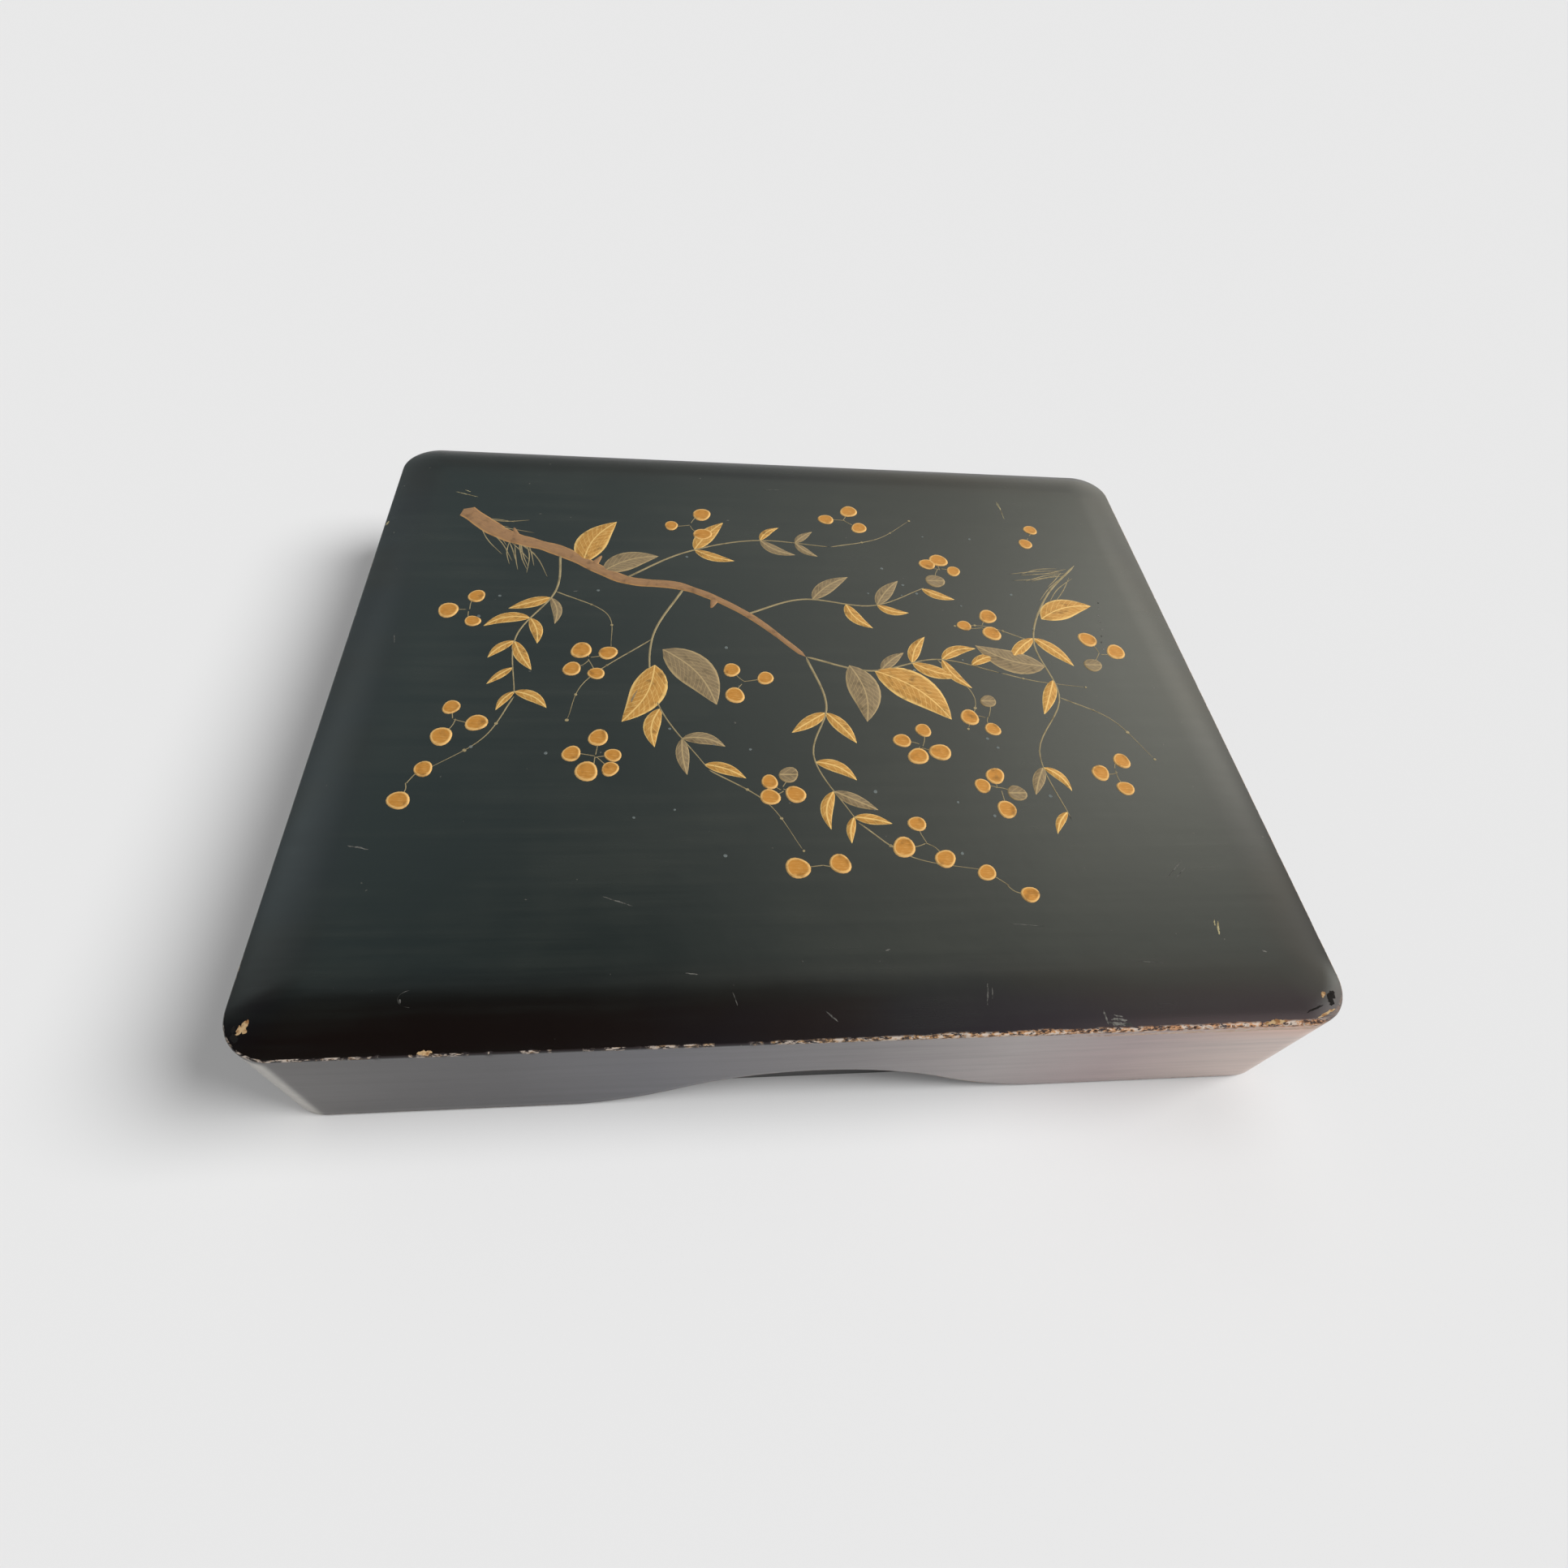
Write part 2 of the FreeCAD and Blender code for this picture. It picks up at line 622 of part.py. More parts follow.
class InkBoard:
    """The loose board at the front, and the inkstone, water dropper and ink stick that it holds."""

    def __init__(self, doc, s, base):
        self.doc, self.s, self.base = doc, s, base
        self.length = base.fitting_length
        self.y = -(base.room_depth / 2 - s.fit_gap - s.ink_board_depth / 2)
        self.foot = s.bottom_board + s.batten_height
        self.top = self.foot + s.ink_board_thickness
        self.stone_x = self.length / 2 - s.stone_end_margin - s.stone_length / 2
        opening_left = self.stone_x - s.stone_length / 2 - s.fit_gap
        self.seat_x = (opening_left - self.length / 2) / 2
        half = s.ink_board_depth / 2
        self.dropper_y = half - s.seat_side_margin - s.dropper_width / 2
        self.stick_y = -(half - s.stick_side_margin - s.stick_width / 2)

    def build(self):
        """Makes the board, what carries it and what lies in it."""
        self.board()
        self.battens()
        self.inkstone()
        self.dropper()
        self.ink_stick()

    def board(self):
        """The board, with an opening for the inkstone and seats for the dropper and the stick."""
        s = self.s
        body = new_body(self.doc, "ink_board", y=self.y, z=self.foot)
        plan = rounded_rectangle(self.length, s.ink_board_depth, self.base.fitting_radius)
        pad(body, "Board", draw(new_sketch(body, "Plan"), plan), s.ink_board_thickness)
        gap = s.fit_gap
        for name, length, width, radius, x, y, depth in (
            ("Stone", s.stone_length, s.stone_width, s.stone_corner_radius,
             self.stone_x, ZERO, s.ink_board_thickness),
            ("Dropper", s.dropper_length, s.dropper_width, s.dropper_corner_radius,
             self.seat_x, self.dropper_y, s.dropper_recess),
            ("Stick", s.stick_length, s.stick_width, s.stick_round,
             self.seat_x, self.stick_y, s.stick_recess),
        ):
            outline = rounded_rectangle(
                length + 2 * gap, width + 2 * gap, radius + gap, x, y
            )
            sketch = new_sketch(body, f"{name}Shape", lift=s.ink_board_thickness)
            cut(body, f"{name}Seat", draw(sketch, outline), depth=depth)

    def battens(self):
        """Two strips across the bottom board, under the ends of the loose board."""
        s = self.s
        run = s.ink_board_depth - 2 * self.base.fitting_radius
        x = self.base.room_length / 2 - s.batten_width / 2
        for side, sign in (("left", -1), ("right", 1)):
            block(
                self.doc, f"ink_board_batten_{side}", s.batten_width, run,
                s.batten_height, sign * x, self.y, s.bottom_board,
            )

    def inkstone(self):
        """A slate with a raised rim, a grinding land and a deep well at its left end."""
        s = self.s
        body = new_body(self.doc, "inkstone", self.stone_x, self.y, s.bottom_board)
        plan = rounded_rectangle(s.stone_length, s.stone_width, s.stone_corner_radius)
        pad(body, "Slab", draw(new_sketch(body, "Plan"), plan), s.stone_height)
        inner_width = s.stone_width - 2 * s.stone_rim
        inner_end = s.stone_length / 2 - s.stone_rim
        land = s.stone_height - s.stone_land_depth
        well = s.stone_height - s.stone_well_depth
        foot = -inner_end + s.stone_well_length
        outline = [
            (-inner_end, s.stone_height),
            (-inner_end, well),
            (foot, well),
            (foot + s.stone_ramp_length, land),
            (inner_end, land),
            (inner_end, s.stone_height),
        ]
        sketch = draw(new_sketch(body, "WellShape", "XZ_Plane"), outline)
        cut_about(body, "Well", sketch, inner_width)

    def dropper(self):
        """A box of metal sheet with a soldered base, an air hole and a spout at one corner."""
        s = self.s
        foot = self.top - s.dropper_recess
        y = self.y + self.dropper_y
        outer = rounded_rectangle(s.dropper_length, s.dropper_width, s.dropper_corner_radius)
        inner = rounded_rectangle(
            s.dropper_length - 2 * s.dropper_wall,
            s.dropper_width - 2 * s.dropper_wall,
            s.dropper_corner_radius - s.dropper_wall,
        )
        plate = new_body(self.doc, "dropper_base", self.seat_x, y, foot)
        pad(plate, "Plate", draw(new_sketch(plate, "Plan"), outer), s.dropper_wall)
        height = s.dropper_height - s.dropper_wall
        shell = new_body(self.doc, "dropper_shell", self.seat_x, y, foot + s.dropper_wall)
        pad(shell, "Block", draw(new_sketch(shell, "Plan"), outer), height)
        hollow = draw(new_sketch(shell, "Hollow"), inner)
        cut(shell, "Inside", hollow, depth=height - s.dropper_wall, upwards=True)
        air = new_sketch(shell, "AirPlace", lift=height)
        cut(shell, "AirHole", draw_circles(air, [(ZERO, ZERO)], s.dropper_hole_radius))
        spout_x = -(s.dropper_length / 2 - s.dropper_corner_radius)
        spout_y = s.dropper_width / 2 - s.dropper_corner_radius
        mouth = new_sketch(shell, "SpoutPlace", lift=height)
        draw_circles(mouth, [(spout_x, spout_y)], s.spout_bore_radius)
        cut(shell, "SpoutHole", mouth, depth=s.dropper_wall)
        spout = new_body(
            self.doc, "dropper_spout", self.seat_x + spout_x, y + spout_y,
            foot + s.dropper_height,
        )
        ring = draw_circles(new_sketch(spout, "Outside"), [(ZERO, ZERO)], s.spout_radius)
        pad(spout, "Tube", ring, s.spout_height)
        bore = new_sketch(spout, "Inside", lift=s.spout_height)
        cut(spout, "Bore", draw_circles(bore, [(ZERO, ZERO)], s.spout_bore_radius))

    def ink_stick(self):
        """A moulded stick of ink with softened edges."""
        s = self.s
        body = new_body(
            self.doc, "ink_stick", self.seat_x, self.y + self.stick_y,
            self.top - s.stick_recess,
        )
        plan = rounded_rectangle(s.stick_length, s.stick_width, s.stick_round)
        pad(body, "Stick", draw(new_sketch(body, "Plan"), plan), s.stick_height)
        middle = (self.top - s.stick_recess + s.stick_height / 2).value
        flat = s.stick_height.value / 4
        round_edges(
            body, "SoftEdges", s.stick_round / 2,
            lambda e: all(abs(v.Z - middle) > flat for v in e.Vertexes)
            and abs(e.Vertexes[0].Z - e.Vertexes[-1].Z) < flat,
        )


class Tray:
    """The shallow tray at the back, with its rests, brushes, paper knife and awl."""

    def __init__(self, doc, s, base):
        self.doc, self.s = doc, s
        self.length = base.fitting_length
        self.depth = base.room_depth - s.ink_board_depth - 3 * s.fit_gap
        self.y = base.room_depth / 2 - s.fit_gap - self.depth / 2
        self.foot = s.bottom_board + s.tray_rest_height
        self.floor = self.foot + s.tray_floor
        self.radius = base.fitting_radius
        self.room_length = base.room_length
        self.inner_depth = self.depth - 2 * s.tray_wall
        self.inner_left = -(self.length / 2 - s.tray_wall)
        self.tools_left = self.inner_left + s.tool_end_gap
        self.axis_height = self.floor + s.rest_height + s.lie_gap
        self.node_place = s.near_rest_place - s.tool_end_gap + s.rest_spacing / 2
        cap = s.cap_slip + s.cap_wall
        self.tool_radii = [
            s.thick_handle_radius, s.fine_handle_radius, s.knife_radius, s.awl_radius,
        ]
        self.widest_radii = [
            s.thick_handle_radius + cap, s.fine_handle_radius + cap, s.knife_radius, s.awl_radius,
        ]

    def lane(self, i):
        """Place across the tray of tool number i, from the back, with equal gaps between tools."""
        taken = 2 * sum(self.widest_radii, ZERO)
        gap = (self.inner_depth - taken) / (len(self.widest_radii) + 1)
        before = 2 * sum(self.widest_radii[:i], ZERO)
        return self.inner_depth / 2 - gap * (i + 1) - before - self.widest_radii[i]

    def at(self, i, along=ZERO):
        """Where a tool's local origin goes: its left end, on its axis."""
        return self.tools_left + along, self.y + self.lane(i), self.axis_height

    def build(self):
        """Makes the tray, the cleats that carry it, its rests and the tools on them."""
        s, doc = self.s, self.doc
        floor = new_body(doc, "tray_floor", y=self.y, z=self.foot)
        plan = rounded_rectangle(self.length, self.depth, self.radius)
        pad(floor, "Board", draw(new_sketch(floor, "Plan"), plan), s.tray_floor)
        mitred_ring(
            doc, "tray", self.length, self.depth, s.tray_height - s.tray_floor,
            s.tray_wall, self.radius, self.floor, self.y,
        )
        cleat_length = self.depth - 2 * s.cleat_end_gap
        for side, sign in (("left", -1), ("right", 1)):
            x = self.room_length / 2 - s.tray_rest_width / 2
            block(
                doc, f"tray_cleat_{side}", s.tray_rest_width, cleat_length,
                s.tray_rest_height, sign * x, self.y, s.bottom_board,
            )
        first = self.inner_left + s.near_rest_place
        self.rest("brush_rest_left", first)
        self.rest("brush_rest_right", first + s.rest_spacing)
        self.brush(0, "thick_brush", s.thick_handle_radius, s.thick_handle_length, s.thick_tuft_length)
        self.brush(1, "fine_brush", s.fine_handle_radius, s.fine_handle_length, s.fine_tuft_length)
        self.knife(2)
        self.awl(3)

    def rest(self, name, x):
        """A strip across the tray with a round notch for each tool."""
        s = self.s
        body = new_body(self.doc, name, x, self.y, self.floor)
        plan = rectangle(s.rest_thickness, self.inner_depth)
        pad(body, "Strip", draw(new_sketch(body, "Plan"), plan), s.rest_height)
        for i, radius in enumerate(self.tool_radii):
            sketch = new_sketch(body, f"Notch{i}", "YZ_Plane")
            centre = (self.lane(i), s.rest_height + s.lie_gap)
            draw_circles(sketch, [centre], radius + s.lie_gap)
            cut(body, f"Hollow{i}", sketch, both_ways=True)

    def brush(self, i, name, radius, length, tuft_length):
        """A bamboo handle, the hair bedded in its end, and a cap that pulls off."""
        s = self.s
        bore = radius - s.handle_shell
        rounding = s.node_band
        ring = self.node_place
        handle = [
            (ZERO, ZERO),
            (ZERO, radius - rounding),
            (rounding, radius),
            (ring - 2 * rounding, radius),
            (ring, radius + s.node_band),
            (ring + 2 * rounding, radius),
            (length, radius),
            (length, bore),
            (length - s.tuft_root, bore),
            (length - s.tuft_root, ZERO),
        ]
        turned(self.doc, f"{name}_handle", handle, *self.at(i))
        tip = s.tuft_root + tuft_length
        hair = [
            (ZERO, ZERO),
            (ZERO, bore),
            (s.tuft_root, bore),
            *((s.tuft_root + tuft_length * run, bore * girth) for run, girth in HAIR_PROFILE),
            (tip, ZERO),
        ]
        turned(self.doc, f"{name}_tuft", hair, *self.at(i, length - s.tuft_root))
        inside = radius + s.cap_slip
        outside = inside + s.cap_wall
        room = s.cap_overlap + tuft_length + s.cap_tip_gap
        cap = [
            (ZERO, inside),
            (ZERO, outside),
            (room + s.cap_end - rounding, outside),
            (room + s.cap_end, outside - rounding),
            (room + s.cap_end, ZERO),
            (room, ZERO),
            (room, inside),
        ]
        turned(self.doc, f"{name}_cap", cap, *self.at(i, length - s.cap_overlap))

    def knife(self, i):
        """A round handle with a slotted collar, a flat blade and a sheath that pulls off."""
        s = self.s
        radius = s.knife_radius
        soft = s.node_band
        handle = turned(
            self.doc, "knife_handle",
            [(ZERO, ZERO), (ZERO, radius - soft), (soft, radius),
             (s.knife_handle_length, radius), (s.knife_handle_length, ZERO)],
            *self.at(i),
        )
        inside = s.tang_length - s.knife_collar_length
        start = s.knife_handle_length - inside
        self.slot(handle, start, s.knife_handle_length, s.tang_width, s.blade_thickness)
        collar = turned(
            self.doc, "knife_collar",
            [(ZERO, ZERO), (ZERO, radius), (s.knife_collar_length, radius),
             (s.knife_collar_length, ZERO)],
            *self.at(i, s.knife_handle_length),
        )
        self.slot(collar, ZERO, s.knife_collar_length, s.tang_width, s.blade_thickness)
        blade = new_body(self.doc, "knife_blade", *self.at(i, start))
        tang, wide = s.tang_width / 2, s.blade_width / 2
        end = s.tang_length + s.blade_length
        outline = [
            (ZERO, -tang), (s.tang_length, -tang), (s.tang_length, -wide),
            (end, -wide), (end - 2 * s.blade_width, wide), (s.tang_length, wide),
            (s.tang_length, tang), (ZERO, tang),
        ]
        sketch = draw(new_sketch(blade, "Outline", "XZ_Plane"), outline)
        plate = pad(blade, "Plate", sketch, s.blade_thickness)
        plate.Midplane = True
        reach = s.blade_length + s.sheath_slip
        sheath = turned(
            self.doc, "knife_sheath",
            [(ZERO, ZERO), (ZERO, radius), (reach + s.sheath_end - soft, radius),
             (reach + s.sheath_end, radius - soft), (reach + s.sheath_end, ZERO)],
            *self.at(i, s.knife_handle_length + s.knife_collar_length + s.sheath_slip / 2),
        )
        self.slot(
            sheath, ZERO, reach,
            s.blade_width + 2 * s.sheath_slip, s.blade_thickness + 2 * s.sheath_slip,
        )

    def slot(self, body, start, end, width, thickness):
        """A flat hole along the axis, from start to end."""
        outline = rectangle(end - start, width, (start + end) / 2, ZERO)
        sketch = draw(new_sketch(body, "SlotShape", "XZ_Plane"), outline)
        cut_about(body, "Slot", sketch, thickness)

    def awl(self, i):
        """A wooden handle, a metal ferrule and a steel point whose tang runs through both."""
        s = self.s
        radius, tang, soft = s.awl_radius, s.awl_point_radius, s.node_band
        bedded = s.awl_tang_length - s.awl_ferrule_length
        length = s.awl_handle_length
        handle = [
            (ZERO, ZERO), (ZERO, radius - soft), (soft, radius), (length, radius),
            (length, tang), (length - bedded, tang), (length - bedded, ZERO),
        ]
        turned(self.doc, "awl_handle", handle, *self.at(i))
        ferrule = [
            (ZERO, tang), (ZERO, radius), (s.awl_ferrule_length / 2, radius),
            (s.awl_ferrule_length, (radius + tang) / 2), (s.awl_ferrule_length, tang),
        ]
        turned(self.doc, "awl_ferrule", ferrule, *self.at(i, length))
        tip = s.awl_tang_length + s.awl_point_length
        point = [
            (ZERO, ZERO), (ZERO, tang), (s.awl_tang_length, tang),
            (tip, s.awl_tip_radius), (tip, ZERO),
        ]
        turned(self.doc, "awl_point", point, *self.at(i, length - bedded))


def nodes(doc):
    """The finished sub-parts: bodies, and groups of equal pegs."""
    return [
        o for o in doc.Objects if o.TypeId in ("PartDesign::Body", "Part::Compound")
    ]


def check(doc):
    """Stops before anything is written if an object is in error or a shape is unsound."""
    for obj in doc.Objects:
        if "Invalid" in obj.State or "Error" in obj.State:
            raise RuntimeError(f"{obj.Label}: {obj.State}")
    for node in nodes(doc):
        shape = node.Shape
        if shape.isNull() or not shape.isValid() or not shape.Solids:
            raise RuntimeError(f"{node.Label}: unsound shape")


def main():
    """Builds the box and writes one STEP file for each sub-part."""
    doc = FreeCAD.newDocument("suzuri_box")
    sizes = Sizes(doc, DRIVING_SIZES)
    lid = Lid(doc, sizes)
    lid.build()
    base = Base(doc, sizes, lid)
    base.build()
    InkBoard(doc, sizes, base).build()
    Tray(doc, sizes, base).build()
    doc.recompute()
    check(doc)
    os.makedirs(OUT, exist_ok=True)
    for node in nodes(doc):
        node.Shape.exportStep(os.path.join(OUT, f"{node.Label}.step"))
    print(f"{len(nodes(doc))} sub-parts written")


main()
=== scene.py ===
"""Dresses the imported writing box: lacquer, decoration, writing tools, floor, light and camera.

The frame is the part's own: +X along the long side, +Y away from the front, +Z up, with the
origin under the middle of the box. Lengths are millimetres unless a line says metres, and a
mesh is brought to metres when its piece is made.
"""

import logging
import math
from dataclasses import dataclass, field
from enum import Enum
from typing import Any, Callable

import bmesh
import bpy
import numpy as np
from mathutils import Matrix, Vector

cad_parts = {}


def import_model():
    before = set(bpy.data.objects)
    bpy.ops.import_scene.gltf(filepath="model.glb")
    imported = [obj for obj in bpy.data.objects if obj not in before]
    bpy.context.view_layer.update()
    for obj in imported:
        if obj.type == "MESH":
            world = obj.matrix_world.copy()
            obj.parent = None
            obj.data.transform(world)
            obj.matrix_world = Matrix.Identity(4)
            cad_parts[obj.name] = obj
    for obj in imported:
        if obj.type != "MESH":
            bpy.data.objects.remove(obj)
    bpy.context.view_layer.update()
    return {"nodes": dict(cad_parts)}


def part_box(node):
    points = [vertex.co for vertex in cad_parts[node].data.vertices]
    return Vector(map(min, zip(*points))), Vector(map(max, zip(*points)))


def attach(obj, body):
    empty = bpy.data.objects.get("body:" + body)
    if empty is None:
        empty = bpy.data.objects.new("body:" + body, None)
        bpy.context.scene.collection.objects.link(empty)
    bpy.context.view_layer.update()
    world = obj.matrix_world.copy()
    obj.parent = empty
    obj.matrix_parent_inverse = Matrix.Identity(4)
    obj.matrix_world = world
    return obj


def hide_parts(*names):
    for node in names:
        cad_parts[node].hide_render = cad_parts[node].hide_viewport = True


LOG = logging.getLogger("writing_box")
MM = 0.001
PER_METRE = (1e3, 1e3, 1e3)
MERGE_METRES = 1e-6

UV_NAME = "Wrap"
SHARE_NAME = "share"

Colour = tuple[float, float, float]
Triple = tuple[float, float, float]
Range = tuple[float, float]
Array = np.ndarray
Level = float | Array | Callable[[Array], Array]


class Sock:
    """A node's output that takes part in Python arithmetic by adding Math nodes."""

    def __init__(self, graph: "Graph", socket: Any) -> None:
        """Wraps a socket of a graph."""
        self.graph = graph
        self.socket = socket

    def _math(self, operation: str, first: Any, second: Any) -> "Sock":
        """Adds one Math node and returns its result."""
        return self.graph.node(
            "ShaderNodeMath", {"operation": operation}, {0: first, 1: second}
        )

    def __add__(self, other: Any) -> "Sock":
        """Sum."""
        return self._math("ADD", self, other)

    def __radd__(self, other: Any) -> "Sock":
        """Sum, with the number first."""
        return self._math("ADD", other, self)

    def __sub__(self, other: Any) -> "Sock":
        """Difference."""
        return self._math("SUBTRACT", self, other)

    def __rsub__(self, other: Any) -> "Sock":
        """Difference, with the number first."""
        return self._math("SUBTRACT", other, self)

    def __mul__(self, other: Any) -> "Sock":
        """Product."""
        return self._math("MULTIPLY", self, other)

    def __rmul__(self, other: Any) -> "Sock":
        """Product, with the number first."""
        return self._math("MULTIPLY", other, self)

    def __truediv__(self, other: Any) -> "Sock":
        """Quotient."""
        return self._math("DIVIDE", self, other)

    def __neg__(self) -> "Sock":
        """The value with its sign changed."""
        return self._math("SUBTRACT", 0.0, self)

    def __abs__(self) -> "Sock":
        """Absolute value."""
        return self._math("ABSOLUTE", self, 0.0)

    def least(self, other: Any) -> "Sock":
        """The smaller of two values."""
        return self._math("MINIMUM", self, other)

    def most(self, other: Any) -> "Sock":
        """The larger of two values."""
        return self._math("MAXIMUM", self, other)


class Graph:
    """A material's or the world's node tree, written from Python expressions."""

    def __init__(self, tree: Any) -> None:
        """Empties a node tree and takes it over."""
        self.tree = tree
        tree.nodes.clear()

    def node(
        self,
        kind: str,
        settings: dict[str, Any] | None = None,
        inputs: dict[Any, Any] | None = None,
        output: Any = 0,
    ) -> Sock:
        """Adds a node.

        Args:
            kind: the node's type.
            settings: its properties, set first; "stops" fills a colour ramp.
            inputs: values or Socks by input name or number.
            output: name or number of the output that is returned.

        Returns:
            The chosen output.
        """
        made = self.tree.nodes.new(kind)
        for name, value in (settings or {}).items():
            if name == "stops":
                ramp = made.color_ramp
                while len(ramp.elements) < len(value):
                    ramp.elements.new(1.0)
                for element, (place, colour) in zip(ramp.elements, value):
                    element.position = place
                    element.color = (*colour, 1.0)
            else:
                setattr(made, name, value)
        for name, value in (inputs or {}).items():
            if isinstance(value, Sock):
                self.tree.links.new(value.socket, made.inputs[name])
            elif value is not None:
                socket = made.inputs[name]
                if socket.type == "RGBA" and len(value) == 3:
                    value = (*value, 1.0)
                socket.default_value = value
        return Sock(self, made.outputs[output] if made.outputs else None)

    def place(self) -> Sock:
        """Object coordinates, which are the row frame's, in millimetres."""
        return self.scaled(self.node("ShaderNodeTexCoord", output="Object"), PER_METRE)

    def wrap(self) -> Sock:
        """The piece's own UV map, which holds metres along its surface, in millimetres."""
        return self.scaled(self.node("ShaderNodeUVMap", {"uv_map": UV_NAME}), PER_METRE)

    def share(self) -> Sock:
        """The piece's own number at each point, between 0 and 1."""
        return self.node(
            "ShaderNodeAttribute", {"attribute_name": SHARE_NAME}, output="Fac"
        )

    def axes(self, vector: Sock) -> tuple[Sock, Sock, Sock]:
        """The three components of a vector."""
        split = self.node("ShaderNodeSeparateXYZ", inputs={0: vector})
        outputs = split.socket.node.outputs
        return tuple(Sock(self, outputs[i]) for i in range(3))

    def scaled(self, vector: Sock, scale: Triple) -> Sock:
        """A vector with each component multiplied by its own number."""
        return self.node(
            "ShaderNodeVectorMath", {"operation": "MULTIPLY"}, {0: vector, 1: scale}
        )

    def noise(self, vector: Sock, scale: float, detail: float = 3.0, rough: float = 0.5) -> Sock:
        """Fractal noise between 0 and 1, with scale features per unit of the vector."""
        return self.node(
            "ShaderNodeTexNoise",
            inputs={"Vector": vector, "Scale": scale, "Detail": detail, "Roughness": rough},
        )

    def grain(self, vector: Sock, scale: Triple, detail: float, rough: float = 0.5) -> Sock:
        """Fractal noise with its own number of features per unit along each axis."""
        return self.noise(self.scaled(vector, scale), 1.0, detail, rough)

    def step(self, value: Sock, low: float, high: float) -> Sock:
        """A smooth step from 0 at low to 1 at high."""
        return self.node(
            "ShaderNodeMapRange",
            {"interpolation_type": "SMOOTHSTEP"},
            {"Value": value, "From Min": low, "From Max": high},
        )

    def fall(self, value: Sock, low: float, high: float) -> Sock:
        """A smooth step from 1 at low to 0 at high."""
        return 1.0 - self.step(value, low, high)

    def beside(self, value: Sock, gap: float) -> Sock:
        """How far a value is from the nearest multiple of a gap."""
        return self.node("ShaderNodeMath", {"operation": "PINGPONG"}, {0: value, 1: gap / 2})

    def blend(self, share: Sock | float, first: Any, second: Any) -> Sock:
        """A colour between two colours."""
        return self.node(
            "ShaderNodeMix", {"data_type": "RGBA"}, {0: share, 6: first, 7: second}, output=2
        )

    def ramp(self, value: Sock, stops: list[tuple[float, Colour]]) -> Sock:
        """A colour looked up along a ramp."""
        return self.node("ShaderNodeValToRGB", {"stops": stops}, {0: value})

    def bump(self, height: Sock, strength: float, depth: float) -> Sock:
        """A normal tilted by a height, with depth in metres for a height of 1."""
        return self.node(
            "ShaderNodeBump", inputs={"Height": height, "Strength": strength, "Distance": depth},
        )


@dataclass(frozen=True)
class Surface:
    """The sockets of one Principled shader, constant or worked out."""

    colour: Any
    roughness: Any = 0.5
    metallic: Any = 0.0
    normal: Any = None
    specular: float = 0.5
    coat: Any = 0.0
    coat_roughness: float = 0.1
    sheen: float = 0.0


class Finish:
    """Base of all finishes: makes its material once and gives it to pieces."""

    name: str

    def surface(self, graph: Graph) -> Surface:
        """The shader of this finish."""
        raise NotImplementedError

    def material(self) -> Any:
        """The Blender material, made on first use."""
        found = bpy.data.materials.get(self.name)
        if found:
            return found
        material = bpy.data.materials.new(self.name)
        material.use_nodes = True
        graph = Graph(material.node_tree)
        look = self.surface(graph)
        shader = graph.node(
            "ShaderNodeBsdfPrincipled",
            inputs={
                "Base Color": look.colour,
                "Roughness": look.roughness,
                "Metallic": look.metallic,
                "Specular IOR Level": look.specular,
                "Coat Weight": look.coat,
                "Coat Roughness": look.coat_roughness,
                "Sheen Weight": look.sheen,
                "Normal": look.normal,
            },
        )
        graph.node("ShaderNodeOutputMaterial", inputs={"Surface": shader})
        return material

    def dress(self, *pieces: Any) -> None:
        """Gives this finish to every slot of the pieces."""
        for piece in pieces:
            piece.data.materials.clear()
            piece.data.materials.append(self.material())


class Slot(Enum):
    """Material slot names passed along when new pieces are made; nothing reads them."""

    LACQUER = "lacquer"
    WOOD = "plain_wood"
    SLATE = "slate"
    COPPER = "copper"
    INK = "ink"
    BAMBOO = "bamboo"
    HAIR = "hair"
    GILT = "gilt_metal"


